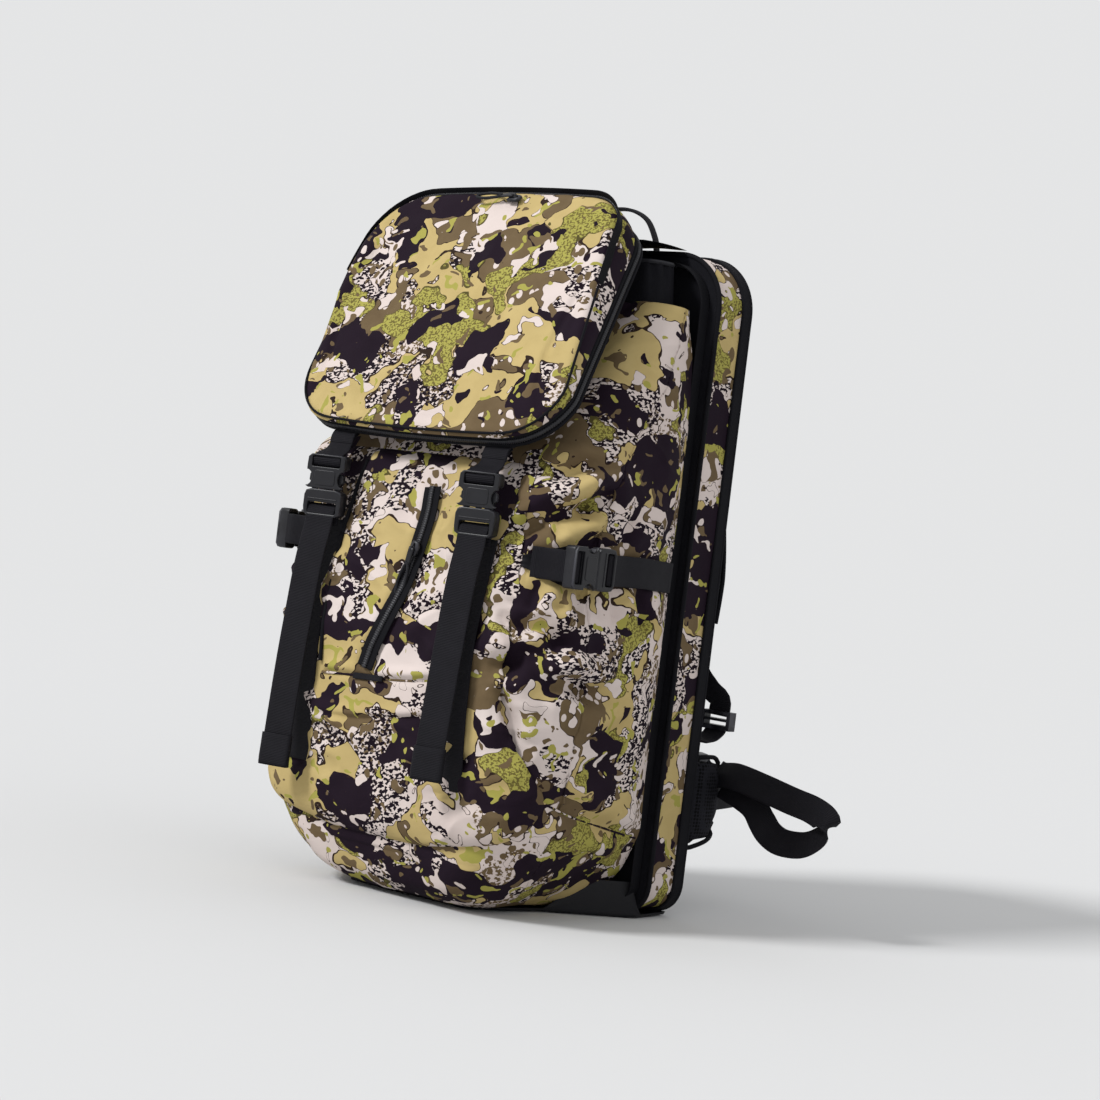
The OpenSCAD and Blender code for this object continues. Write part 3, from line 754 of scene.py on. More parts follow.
def bag_folds(rows):
    """Wrinkles of the bag's own fabric: gathers at the side straps, sagging folds, fine creases."""
    x, z = rows[..., 0], rows[..., 2]
    out = 3.0 * field(rows, 95, 3) + 1.6 * field(rows, 38, 8, (1, 1, 0.8))
    for side in (-1, 1):
        d = rows - PATCH * (side, 1, 1)
        far = np.linalg.norm(d, axis=-1)
        angle = np.arctan2(d[..., 2], d[..., 0] * side * -0.7 + d[..., 1] * 0.7)
        rays = np.cos(angle * 11 + 1.7 * field(rows, 60, 5 + side))
        out += 2.2 * rays * np.exp(-far / 60) * np.clip((far - 22) / 25, 0, 1)
        out -= 3.0 * np.exp(-(far / 30) ** 2)
    out += 1.45 * (folded(rows, SIDE_FOLDS) + folded(rows, mirrored(SIDE_FOLDS, 5, 0.5)))
    out += 1.5 * creases(rows, 60, 11, (1, 1, 2.2)) * np.clip((z - 60) / 60, 0, 1)
    out -= 2.0 * creases(rows, 85, 17, (1.2, 1.2, 0.7), 5) * (np.abs(x) > 90)
    flat_zone = np.clip((np.abs(x) - 92) / 20, 0, 1) + (z > 372) + (z < 40)
    rear_zone = np.clip((-rows[..., 1]) / 30, 0.15, 1)
    out = out * np.clip(flat_zone, 0.1, 1) * rear_zone
    held = np.exp(-((z - PATCH[2]) / 17) ** 4) * (np.abs(x) > 120)
    out = out * (1 - 0.8 * held) - 1.2 * held
    return out + 4.0 * np.exp(-((z - 74) / 26) ** 2) * rear_zone


BAG_FLOOR_Z, BAG_WALL_Z, BAG_MOUTH_Z = 4.6, 4.8, 505


def bag_piece():
    """The bag's cloth in one skin, from the middle of its floor to its gathered mouth, and its lining."""
    levels = np.concatenate([np.linspace(BAG_WALL_Z, 60, 34), np.linspace(62, BAG_MOUTH_Z, 200)])
    rows = np.array([bag_outline(z, 0, 301) for z in levels])
    rows = warped(rows, bag_folds(rows))
    floor_rows = []
    for k in range(6):
        inner = rows[0].copy()
        share = (k + 0.02) / 6
        inner[:, 0] *= share
        inner[:, 1] = inner[:, 1] * share + (1 - share) * -40
        inner[:, 2] = BAG_FLOOR_Z
        floor_rows.append(inner)
    top_rows = []
    for k in range(1, 9):
        ring = rows[-1].copy()
        ring[:, 0] *= 1 - 0.014 * k
        ring[:, 1] = 1 + (ring[:, 1] - 1) * (1 - 0.02 * k) - 0.3 * k
        ring[:, 2] += 1.6 * math.sin(k / 8 * 1.6)
        top_rows.append(ring)
    rows = np.concatenate([floor_rows, rows, top_rows])
    surface("bag_shell", rows, "camo_bag", "pack", "camo_fabric", ["main_bag"], flip=True)
    lining = np.array([bag_outline(z, -14.0, 121) for z in np.linspace(20, 498, 60)])
    surface("bag_lining", lining, "black", "pack", "black_fabric")


def on_bag(points, out):
    """World points out mm off the folded bag, for pairs of distance round it from its middle, and height."""
    made, ways = [], []
    for s, z in points:
        ring = bag_outline(z, 0.0, 301)
        right = ring[len(ring) // 2:]
        at = np.concatenate([[0], np.cumsum(np.linalg.norm(np.diff(right, axis=0), axis=1))])
        side = 1 if s >= 0 else -1
        spot, ahead = (np.array([np.interp(far, at, right[:, k]) for k in range(3)])
                       for far in (abs(s), abs(s) + 2))
        ahead = ahead - spot
        made.append(spot * (side, 1, 1))
        ways.append(unit(np.array([ahead[1], -ahead[0], 0.0])) * (side, 1, 1))
    made, ways = np.array(made), np.array(ways)
    return made + ways * (bag_folds(made[None])[0] + out)[:, None]


def bag_seams():
    """The seam that runs from the pocket's lower corner back to the rear zip on each side."""
    for side, tag in SIDES[::-1]:
        line = on_bag([(side * s, z) for s, z in FOOT_SEAM], 0.1)
        tube("foot_seam_" + tag, line, 0.9, "camo_side", "pack")


# ---------------------------------------------------------------- front pocket

def pocket_y(x, z):
    """y of the pocket's outer face at x and z."""
    share = np.clip(np.abs(x) / pocket_half(z), 0, 1)
    return bag_front(x, z) - 0.8 - pocket_bulge(z) * np.sqrt(np.clip(1 - share ** 5, 0, 1))


POCKET_HEM, POCKET_TOP = 52, 362
POCKET_ZIP = [(16, 336), (19, 312), (18, 285), (12, 255), (1, 225), (-9, 202), (-14, 185)]
POCKET_FOLDS = [
    (5, 6, [(92, -192, 262), (62, -197, 246), (38, -199, 238), (13, -200, 224)]),
    (5, 6, [(-54, -194, 280), (-60, -196, 251), (-62, -198, 226)]),
    (4, 6, [(100, -190, 236), (78, -196, 214), (60, -200, 190)]),
    (4, 6, [(104, -186, 130), (70, -192, 116), (30, -192, 104)]),
    (3, 6, [(-100, -186, 150), (-70, -194, 132), (-30, -193, 120)]),
    (4, 5, [(48, -185, 330), (44, -188, 300), (50, -190, 272)]),
    (3, 5, [(-30, -186, 330), (-34, -190, 290)]),
    (3, 5, [(-98, -184, 290), (-104, -184, 250)]),
]
POCKET_SEAMS = [
    [(-64, 175), (-30, 177), (5, 178), (38, 181), (72, 186)],
    [(-66, 142), (-25, 142), (26, 149), (80, 158)],
]


def pocket_folds(rows):
    """Wrinkles of the pocket's cloth: folds, rolls along its seams, gathers at the top, calm by its zip."""
    x, z = rows[..., 0], rows[..., 2]
    out = 1.6 * field(rows, 60, 21) + 0.8 * field(rows, 24, 25) + 1.55 * folded(rows, POCKET_FOLDS)
    out += 1.8 * creases(rows, 52, 27, (0.8, 1, 1.5))
    for line, roll in zip(POCKET_SEAMS, (3.4, 1.6)):
        sx, sz = np.array(line, float).T
        high = z - np.interp(x, sx, sz)
        wide = np.clip((x - sx[0]) / 6, 0, 1) * np.clip((sx[-1] - x) / 6, 0, 1)
        out += wide * (roll * np.exp(-((high - 5.5) / 4.5) ** 2) - 2.6 * np.exp(-(high / 2.4) ** 2))
    out += 1.4 * np.cos((x - 60) / 5.5 + z / 40) * np.exp(-((z - 345) / 36) ** 2) * (np.abs(x) < 104)
    out -= 3.0 * np.exp(-((np.abs(x) - 84) / 13) ** 2) * (z > 96)
    beside, _, _ = near_line(rows * (1, 0, 1), [(a, 0, b) for a, b in POCKET_ZIP])
    out *= 1 - 0.8 * np.exp(-(beside / 17) ** 2)
    out -= 1.6 * np.exp(-((beside - 8.5) / 3.0) ** 2)
    edge = np.clip((pocket_half(z) - np.abs(x)) / 10, 0, 1) * np.clip((z - POCKET_HEM) / 10, 0, 1)
    return out * edge * np.clip((POCKET_TOP - z) / 8, 0, 1)


def pocket_ring(z):
    """The pocket's outer face at one height, from its left edge to its right edge."""
    n = 150
    ring = bag_outline(z, 0.0, 601)[:, :2]
    ring = ring[ring[:, 1] < ORIGIN_Y - depth_of(z) + 46]
    half = min(pocket_half(z), ring[:, 0].max() - 0.5)
    inner = ring[np.abs(ring[:, 0]) < half]
    flat = even(inner, n)
    out = unit(np.column_stack([np.gradient(flat[:, 1]), -np.gradient(flat[:, 0])]))
    out *= np.sign(-out[n // 2, 1])
    share = np.clip(np.abs(flat[:, 0]) / half, 0, 1)
    lift = 0.8 + pocket_bulge(z) * np.sqrt(np.clip(1 - share ** 5, 0, 1))
    lift -= 8 * max(0, (54 - z) / 6) ** 2 + 5 * max(0, (z - 358) / 6) ** 2
    return np.column_stack([flat + out * lift[:, None], np.full(n, z)])


def pocket_surface():
    rows = np.array([pocket_ring(z) for z in np.linspace(48, 364, 190)])
    return warped(rows, pocket_folds(rows) + bag_folds(rows))


def on_pocket(rows, points, out):
    """Points out mm in front of the folded pocket for pairs of x and height."""
    flat = rows.reshape(-1, 3)
    made = []
    for x, z in points:
        far = np.hypot(flat[:, 0] - x, flat[:, 2] - z)
        near = np.argsort(far)[:6]
        weight = 1 / (far[near] + 0.3)
        made.append((x, (flat[near, 1] * weight).sum() / weight.sum() - out, z))
    return np.array(made)


def pocket_piece():
    rows = pocket_surface()
    surface("pocket_panel", rows, "camo_pocket", "pack", "camo_fabric", ["front_pocket"], flip=True)
    left = [(-66 - 3 * math.sin(t * 3), z) for t, z in zip(np.linspace(0, 1, 12), np.linspace(184, 352, 12))]
    piping = [(x, pocket_y(x, z) - 1.0, z) for x, z in left]
    tube("pocket_piping", piping, 1.7, "binding", "pack")
    hem = [(x, pocket_y(x, z) + 1.0, z) for x, z in POCKET_SEAMS[0]]
    tube("pocket_hem_cord", hem, 1.1, "camo_side", "pack", replaced=["pocket_band"])
    zip_path = smooth_path([(x, 0, z) for x, z in POCKET_ZIP], 8)
    zip_path = on_pocket(rows, zip_path[:, [0, 2]], 1.5)
    zip_line("pocket_zip_run", zip_path, (1, 0, 0), "pack", 17, 6.0, ["pocket_zip"], -1.0)
    place = on_pocket(rows, [(18, 285)], 3.4)[0]
    zip_puller("pocket_puller", place, (17, 0, 60), (0, -1, 0), "pocket_pull", ["pocket_zip_slider"])
    bar = on_pocket(rows, [(x, 178 + 0.04 * x) for x in (-26, -15, -4, 7)], 2.2)
    strap("pocket_zip_stop", bar, (0, 0.1, 1), "pack", (), 5, 1.4)


# ---------------------------------------------------------------- zips

COIL_PITCH, COIL_STEP = 1.9, 0.55


def zip_line(name, points, across, body, tape, coil, replaced, lift, closed=False):
    """A coil zip: woven tape, and a coil whose turns show as ridges."""
    path = smooth_path(points, 2, closed)
    link(strap_mesh(name, path, across, tape, 1.0, closed), name, "zip_tape", body, replaced)
    fine = smooth_path(points, COIL_STEP, closed)
    turns = 0.78 + 0.22 * np.cos(np.arange(len(fine)) * COIL_STEP * math.tau / COIL_PITCH)
    a = np.linspace(0, math.tau, 12, endpoint=False)
    waist = 1 - 0.35 * np.exp(-(np.cos(a) / 0.25) ** 2)
    oval = np.stack([coil / 2 * np.cos(a) * waist, 1.5 * np.sin(a)], 1)
    rings = sweep(fine, across, oval[None] * turns[:, None, None] + [0, lift], closed)
    if closed:
        rings = np.vstack([rings, rings[:1]])
    surface(name + "_coil", rings, "coil", body, "zip_tape", wrap=True, caps=not closed)


CORD_LENGTH = 26.0


def zip_puller(name, place, along, out, body, replaced):
    """A slider body with a bail, a moulded tab and a cord loop."""
    place, along, out = (np.asarray(v, float) for v in (place, along, out))
    along = unit(along)
    out = unit(out - along * np.dot(along, out))
    side = np.cross(along, out)

    def at(a, s, o):
        return place + along * a + side * s + out * o

    outline = [(-6, 3.4), (-2, 4.4), (3, 4.4), (6.5, 2.6), (6.5, -2.6), (3, -4.4), (-2, -4.4), (-6, -3.4)]
    rings = [[at(a * grow, s * grow, height) for a, s in outline]
             for height, grow in ((0, .9), (.6, 1), (2.6, 1), (3.3, .8))]
    body_mesh = grid_mesh(name, rings, wrap=True, caps=True)
    bail = [at(a, 0, o) for a, o in ((-4, 3), (-3, 5), (0, 5.6), (3, 5), (4, 3))]
    bail = tube_mesh(name, smooth_path(bail, 0.8), 0.9, sides=8)
    tab = [at(a, 0, o) for a, o in ((1, 5.2), (-6, 4.8), (-13, 4.2))]
    tab = strap_mesh(name, smooth_path(tab, 2), side, 5.5, 1.8)
    mid, low = -12 - CORD_LENGTH * .6, -12 - CORD_LENGTH
    loop = [(-12, 0, 4.6), (-16, 2.2, 4.2), (mid, 4.0, 3.8), (low, 2.6, 3.4), (low - 2, 0, 3.4),
            (low, -2.6, 3.4), (mid, -4.0, 3.8), (-16, -2.2, 4.2), (-12, 0, 4.6)]
    loop = smooth_path([at(*spot) for spot in loop], 1.5)
    link(joined(name, [body_mesh, bail, tab]), name, "plastic", body, replaced)
    link(tube_mesh(name + "_cord", loop, 1.3, sides=8), name + "_cord", "cord", body)


# ---------------------------------------------------------------- lid

LID_REAR = np.array([0.0, -44, 560])
LID_TILT = 55.7
LID_LEN = 226.0
LID_TURN = turn_about("X", LID_TILT)
LID_ZIP_Z = 8.4
LID_WALL_Z = 13.2


def lid_world(p):
    """World points from the lid's own frame: x across, y 0 at its rear edge and below 0 in front of that,
    z up from its underside."""
    return np.asarray(p, float) @ LID_TURN.T + LID_REAR


def lid_thick(y):
    """Height of the lid's top edge at y: it thins towards the front."""
    return 53 + (20 - 53) * (-y / LID_LEN)


def on_wall(flat, share):
    """Points on the lid's wall for an outline, at a share of its height from the lower zip up."""
    return np.column_stack([flat, LID_WALL_Z + (lid_thick(flat[:, 1]) - LID_WALL_Z) * share])


def lid_outline(inset, n=240):
    """Outline of the lid at an inset: fuller on its left than on its right, as it hangs."""
    wr, wl, wf, wg = 114 - inset, 146 - inset, 138 - inset, 142 - inset
    yr, yf = -inset, -LID_LEN + inset
    rr, rl, rf = max(38 - inset, 6), max(50 - inset, 6), max(48 - inset, 8)
    path = (arc(wr - rr, yr - rr, rr, 5, 90) + arc(-wl + rl, yr - rl, rl, 90, 179)
            + arc(-wg + rf, yf + rf, rf, 181, 270) + arc(wf - rf, yf + rf, rf, 270, 355))
    flat = even(path, n, closed=True)
    bow = 3.0 * np.clip(1 - (flat[:, 0] / 100) ** 2, 0, 1)
    flat[:, 1] += np.where(flat[:, 1] > -LID_LEN / 2, bow, -bow)
    return flat


LID_SEAMS = [
    [(113, -70), (109, -103), (107, -128), (107, -154), (112, -185), (122, -203), (134, -216)],
    [(-128, -60), (-134, -90), (-132, -130), (-126, -165), (-124, -190), (-128, -212)],
]
LID_FULLNESS = 9.0
LID_CREASES = [
    (2.4, 9, [(-118, -150, 0), (-80, -168, 0), (-30, -172, 0)]),
    (2.0, 8, [(100, -60, 0), (60, -52, 0), (20, -62, 0)]),
    (2.4, 9, [(92, -196, 0), (50, -178, 0), (10, -186, 0)]),
    (2.0, 8, [(-110, -40, 0), (-70, -60, 0), (-50, -96, 0)]),
]


def left_fullness(rows):
    """The lid bulges out over its left rear side."""
    return LID_FULLNESS * np.clip((-rows[..., 0] - 96) / 40, 0, 1) * np.exp(-((rows[..., 1] + 88) / 62) ** 2)


def lid_puff(rows, level):
    """How far the lid's cloth stands off its plain shape: fullness to the left, seams and creases."""
    flat = rows.copy()
    flat[..., 2] = 0
    out = left_fullness(rows) * np.clip(level / 2.0, 0, 1) * np.clip((12 - level) / 6, 0, 1)
    on_top = np.clip((level - 4) / 3, 0, 1)
    for line in LID_SEAMS:
        far, _, _ = near_line(flat, [(a, b, 0) for a, b in line])
        out += on_top * (0.8 * np.exp(-((far - 5) / 4) ** 2) - 2.0 * np.exp(-(far / 2.6) ** 2))
    out += on_top * folded(flat, LID_CREASES)
    calm = np.clip((level - 1) / 8, 0, 1)
    return out + (2.2 * field(rows, 80, 31) + 0.8 * field(rows, 26, 35) + 1.4 * creases(rows, 70, 37)) * calm


def lid_shell():
    """Camouflage walls and crowned top of the lid, in one skin from the lower zip to its middle."""
    wall = [(0.5, 0.0), (-1.2, 0.12), (-2.2, 0.28), (-2.2, 0.46), (-1.2, 0.64), (0.6, 0.8), (3.5, 0.91),
            (6.5, 0.97)]
    rows = [on_wall(lid_outline(inset), share) for inset, share in wall]
    edge = lid_outline(9.5)
    centre = np.array([0, -LID_LEN * 0.52])
    for t in np.concatenate([np.linspace(0, 0.96, 60), [0.985, 0.999]]):
        flat = centre + (edge - centre) * (1 - t)
        z = lid_thick(flat[:, 1]) + 8.0 * (1 - (1 - t) ** 2.2) - 0.5
        rows.append(np.column_stack([flat, z]))
    rows = np.array(rows)
    level = np.repeat(np.arange(len(rows))[:, None], rows.shape[1], 1)
    rows = lid_world(warped(rows, lid_puff(rows, level)))
    surface("lid_shell", rows, "camo_lid", "lid", "camo_fabric", ["lid_top"], wrap=True)


def lid_underside():
    """Black cloth under the lid, hanging a little below its edge."""
    base = []
    edge = lid_outline(3, 160)
    for t in [0.0005, *np.linspace(0.02, 1, 30)]:
        flat = np.array([0, -LID_LEN / 2]) + (edge - [0, -LID_LEN / 2]) * t
        z = 3.4 - 3.0 * (1 - t ** 2) + 1.2 * np.sin(flat[:, 0] / 17) * (1 - t) + (t > 0.97) * 1.0
        base.append(np.column_stack([flat, z]))
    surface("lid_underside", lid_world(base), "black", "lid", "black_fabric", ["lid_base"], wrap=True)


def lid_zips():
    """The zip round the lid's foot between two bindings, the one over its rear, and the seam in front."""
    ring = lid_outline(0.2, 130)
    path = np.column_stack([ring, np.full(len(ring), LID_ZIP_Z)])
    zip_line("lid_zip_band", lid_world(path), LID_TURN @ [0, 0, 1.0], "lid", 11, 5.0, ["lid_zip_lower"], -0.9,
             closed=True)
    for height, name in ((3.8, "lid_binding_low"), (13.4, "lid_binding_high")):
        path = np.column_stack([ring, np.full(len(ring), height)])
        tube(name, lid_world(path), 1.9, "binding", "lid", closed=True)
    seam = lid_outline(-0.6, 260)
    rear, front = seam[seam[:, 1] > -86], seam[seam[:, 1] <= -86]
    rear = rear[np.argsort(np.arctan2(rear[:, 0], rear[:, 1] + 60))]
    upper = on_wall(rear, 0.8)
    upper[:, 0] -= left_fullness(upper)
    zip_line("lid_zip_top", lid_world(upper), LID_TURN @ [0, 0.25, 1.0], "lid", 13, 5.0, ["lid_zip_upper"],
             -1.2)
    front = front[np.argsort(np.arctan2(front[:, 0], -(front[:, 1] + 80)))]
    tube("lid_edge_seam", lid_world(on_wall(front, 0.9)), 1.1, "binding", "lid")


def lid_pullers():
    low = lid_world([-147.5, -70, LID_ZIP_Z])
    zip_puller("lid_lower_puller", low, LID_TURN @ [0.0, 1.0, 0], LID_TURN @ [-1.0, 0.0, 0],
               "lid_lower_pull", ["lid_slider_lower"])
    high = lid_world([0, -12, lid_thick(-12) + 3])
    zip_puller("lid_upper_puller", high, LID_TURN @ [1.0, 0, 0], LID_TURN @ [0, 0.3, 1.0],
               "lid_upper_pull", ["lid_slider_upper"])


def lid_flap():
    """Cloth that joins the lid to the pack."""
    rows = [[(x, y, 558.8 + 1.0 * math.sin((y + 43) / 57 * math.pi) + 0.5 * math.sin(x / 9))
             for x in np.linspace(-101, 101, 70)] for y in np.linspace(-46, 14, 24)]
    piece = surface("lid_hinge_fabric", rows, "black", None, "black_fabric", ["lid_rear_flap"])
    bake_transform(piece)


# ---------------------------------------------------------------- buckles

SOCKET_BAR_Z, PLUG_BAR_Z = 22.1, -16


def plate(outline, holes, low, high, bevel):
    """A flat moulded part in the XZ plane between two y values, with rounded edges."""
    data = bpy.data.curves.new("plate", "CURVE")
    data.dimensions = "2D"
    data.fill_mode = "BOTH"
    data.extrude = (high - low) / 2 - bevel
    data.bevel_depth = bevel
    data.bevel_resolution = 2
    data.offset = -bevel
    for ring in [outline] + list(holes):
        spline = data.splines.new("POLY")
        spline.points.add(len(ring) - 1)
        spline.use_cyclic_u = True
        for point, (x, z) in zip(spline.points, ring):
            point.co = (x, z, 0, 1)
    shape = add_object("plate", data)
    bpy.context.view_layer.update()
    mesh = bpy.data.meshes.new_from_object(shape.evaluated_get(bpy.context.evaluated_depsgraph_get()))
    bpy.data.objects.remove(shape)
    bpy.data.curves.remove(data)
    turn = Matrix(((1, 0, 0, 0), (0, 0, -1, (low + high) / 2), (0, 1, 0, 0), (0, 0, 0, 1)))
    mesh.transform(turn)
    mesh.materials.clear()
    return mesh


def rounded_box(x0, x1, z0, z1, r):
    n = 5
    return (arc(x1 - r, z1 - r, r, 0, 90, n) + arc(x0 + r, z1 - r, r, 90, 180, n)
            + arc(x0 + r, z0 + r, r, 180, 270, n) + arc(x1 - r, z0 + r, r, 270, 360, n))


def notch(cx, cz, rx, rz):
    return [(cx - rx * math.sin(a), cz + rz * math.cos(a)) for a in np.linspace(0, math.pi, 9)]


def both_ways(points):
    """An outline closed by the mirror image of its right half."""
    return points + [(-x, z) for x, z in points[::-1]]


def bar_mesh(z):
    """The round bar that webbing turns over."""
    path = smooth_path([(-13, 0, z), (0, 0, z), (13, 0, z)], 3)
    mesh = tube_mesh("bar", path, 1.6)
    mesh.transform(Matrix.Scale(1 / MM, 4))
    return mesh


def female_meshes():
    """Socket half: front shield with a notch each side, closed head, and a bar across its window."""
    shield = [(13.4, 28), (16.6, 25.5), (17, 20)] + notch(17, 8.2, 5.2, 6.6) + [(16.4, 0.9), (14.5, 0)]
    window = rounded_box(-12.9, 12.9, 17.8, 26.4, 1.2)[::-1]
    head = rounded_box(-17, 17, 16.2, 28, 3.0)
    return [plate(both_ways(shield), [window], -6, -3.4, 0.7), plate(head, [window], -3.8, 6, 0.9),
            plate(rounded_box(-9.5, 9.5, 2.5, 15, 2.5), [], -6.6, -5.4, 0.5), bar_mesh(SOCKET_BAR_Z)]


def male_meshes():
    """Plug half: body with a webbing window and bar, two sprung arms and a centre guide."""
    body = both_ways([(12, -23), (16.2, -20.8), (17, -16), (17, -6), (15.6, -2.2), (11, -0.5)])
    window = rounded_box(-12.9, 12.9, -20.5, -11.5, 1.4)[::-1]
    parts = [plate(body, [window], -6, 6, 1.1),
             plate(rounded_box(-1.8, 1.8, -1.4, 11.2, 1.2), [], -2.6, 2.6, 0.5),
             plate(rounded_box(-13.5, 13.5, -9.4, -8.2, 0.5), [], -6.5, -5.0, 0.3)]
    for side in (-1, 1):
        arm = [(8.4, -1.2), (8.6, 9), (10.5, 13.2), (13.2, 13.2), (15.2, 11.5), (15.4, 6.5), (13.4, 4.4),
               (12.6, 1.5), (12.2, -1.2)]
        arm = [(side * x, z) for x, z in arm]
        parts.append(plate(arm if side < 0 else arm[::-1], [], -2.6, 2.6, 0.6))
    return parts + [bar_mesh(PLUG_BAR_Z)]


def buckle(name, parts, place, body, replaced, scale=1.0):
    """Joins a buckle half's parts and puts them at place, a 4x4 matrix in mm."""
    mesh = joined(name, parts)
    mesh.transform(Matrix.Scale(MM, 4) @ place @ Matrix.Scale(scale, 4))
    link(mesh, name, "plastic", body, replaced)
    mesh.set_sharp_from_angle(angle=math.radians(38))


def frame_at(origin, y, z):
    """A place with its y and z axes along the ways given."""
    turn = Matrix((y.cross(z), y, z)).transposed().to_4x4()
    return Matrix.Translation(origin) @ turn


BUCKLE_Y, BUCKLE_Z, BUCKLE_TURN = -190.5, 324.0, 18.0
STRAP_X = 84.0


def lid_buckle_frame(side):
    turn = Matrix.Rotation(math.radians(BUCKLE_TURN), 4, "Z")
    return Matrix.Translation((side * STRAP_X, BUCKLE_Y, BUCKLE_Z)) @ turn


def placed(place, points):
    return [tuple(place @ Vector(p)) for p in points]


def lid_straps():
    """Each side's strap from the lid's front edge to its buckle, the tail below it and its anchor."""
    edge_y, edge_z = -173.17, 371.54
    for side, tag in SIDES:
        x = side * STRAP_X
        place = lid_buckle_frame(side)
        body = "lid_strap_" + tag[0]
        turned = np.array(place.to_3x3() @ Vector((1, 0, 0)))
        top = [(x, edge_y + 1, edge_z + 1), (x, edge_y - 4, edge_z - 4), (x, -182, 358)]
        low = placed(place, [(0, -3.4, 27), (0, -3.8, 22.1), (0, -2.0, 18.9), (0, 1.6, 19.2), (0, 3.2, 22.1),
                             (0, 3.0, 26), (0, 2.6, 31)])
        strap("lid_strap_web_" + tag, top + low, [(1, 0, 0), (1, 0, 0), turned, turned, turned, turned], body,
              ["lid_strap_" + tag])
        fold = [(x, edge_y + 3.0, edge_z + 3.2), (x, edge_y - 2.2, edge_z + 1.6),
                (x, edge_y - 5.4, edge_z - 3.4), (x, edge_y - 6.2, edge_z - 10)]
        strap("lid_strap_fold_" + tag, fold, (1, 0, 0), body, width=26)
        buckle("lid_buckle_socket_" + tag, female_meshes(), place, body, ["lid_buckle_female_" + tag])
        buckle("lid_buckle_plug_" + tag, male_meshes(), place, "pack",
               ["lid_buckle_male_" + tag, *shared(side, "lid_buckle_prongs")])
        extra = 14 if side < 0 else 0
        hang = [(0, 3.0, -30), (0, 3.4, -20), (0, 3.0, -15), (0, 0.4, -12.8), (0, -3.0, -15),
                (-0.6, -4.6, -20), (-1, -6, -32), (-3, -11, -62), (-5, -14.5, -110), (-7, -15.8, -150),
                (-9, -17, -192 - extra), (-9.4, -17, -214 - extra)]
        strap("strap_tail_web_" + tag, placed(place, hang), turned, "pack", ["strap_tail_" + tag])
        cap = placed(place, [(-9.2, -16.8, -190 - extra), (-9.3, -17.2, -200 - extra),
                             (-9.6, -17.4, -210 - extra), (-9.7, -16.9, -216 - extra)])
        strap("strap_tail_cap_" + tag, cap, turned, "pack", width=27.5, thick=6.2)
        anchor = [(x, pocket_y(x, z) - 0.4, z) for z in (100, 130, 170, 220, 270, 300)]
        strap("strap_anchor_" + tag, anchor, (1, 0, 0), "pack", shared(side, "strap_anchors"))


# ---------------------------------------------------------------- side straps

SIDE_BUCKLE = (159.0, -134, SIDE_Z)


def side_straps():
    """Each side's sewn patch, its buckle, and the webbing in front of it and behind."""
    for side, tag in SIDES:
        x = side * SIDE_BUCKLE[0]
        place = frame_at((x, *SIDE_BUCKLE[1:]), Vector((-side, 0, 0)), Vector((0, -1, 0)))
        buckle("side_socket_" + tag, female_meshes(), place, "pack", ["compression_female_" + tag])
        buckle("side_plug_" + tag, male_meshes(), place, "compression_" + tag[0],
               ["compression_male_" + tag])
        rows = []
        for share in np.linspace(-1, 1, 13):
            run = np.linspace(116, 166, 26)
            half = 4 + 12 * np.clip((run - 116) / 34, 0, 1)
            rows.append(on_bag([(side * d, SIDE_Z + share * h) for d, h in zip(run, half)], 1.2))
        surface("side_patch_" + tag, rows, "web", "pack", "webbing", shared(side, "compression_patches"),
                flip=side < 0)
        lead = on_bag([(side * d, SIDE_Z) for d in (124, 132)], 2.8)
        front = [(side * 146, -163.5), (x - side * 3, -160), (x + side * 2.6, -157.5),
                 (x + side * 3.2, -155), (x, -153.2), (x - side * 4.5, -154)]
        front = [tuple(lead[0]), tuple(lead[1])] + [(a, b, SIDE_Z) for a, b in front]
        strap("side_web_front_" + tag, front, (0, 0, 1), "pack", shared(side, "compression_webbing"))
        rear = [(-4.4, -113, 0), (-2.5, -116.6, 0), (2.4, -117.6, 0), (3.4, -114, 0), (-1, -106, 0),
                (-4.6, -88, 0), (-5.4, -60, 0), (-8, -38, -1), (-16, -10, -2)]
        rear = [(x + side * a, y, SIDE_Z + rise) for a, y, rise in rear]
        web = strap("side_web_rear_" + tag, rear, (0, 0, 1), None)
        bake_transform(web)


# ---------------------------------------------------------------- back system

BACK_LOW, BACK_HIGH = node_box("side_gusset")
BACK_HALF, BACK_FOOT, BACK_HEAD = BACK_HIGH[0], BACK_LOW[2], BACK_HIGH[2]


def back_outline(inset, n):
    """Closed outline of the back system in x and z."""
    x, low, high = BACK_HALF - inset, BACK_FOOT + inset, BACK_HEAD - inset
    rt, rb = max(46 - inset, 4), max(24 - inset, 4)
    path = (arc(x - rt, high - rt, rt, 0, 90) + arc(-x + rt, high - rt, rt, 90, 180)
            + arc(-x + rb, low + rb, rb, 180, 270) + arc(x - rb, low + rb, rb, 270, 360))
    return even(path, n, closed=True)


def back_ring(inset, y, n):
    flat = back_outline(inset, n)
    return np.column_stack([flat[:, 0], np.full(n, y), flat[:, 1]])


def back_panel(name, y, sign, mat, slot, replaced, puff):
    """A fabric panel over one face of the back system."""
    rows = []
    for t in [0.0005, *np.linspace(0.02, 1, 50)]:
        ring = back_ring(2.0, y, 260)
        centre = np.array([0, y, (BACK_FOOT + BACK_HEAD) / 2])
        ring = centre + (ring - centre) * t
        ring[:, 1] += sign * puff * (1 - t ** 4)
        rows.append(ring)
    rows = np.array(rows)
    rows[..., 1] += sign * 0.6 * field(rows, 40, 41)
    surface(name, rows, mat, "pack", slot, replaced, wrap=True, flip=sign > 0)


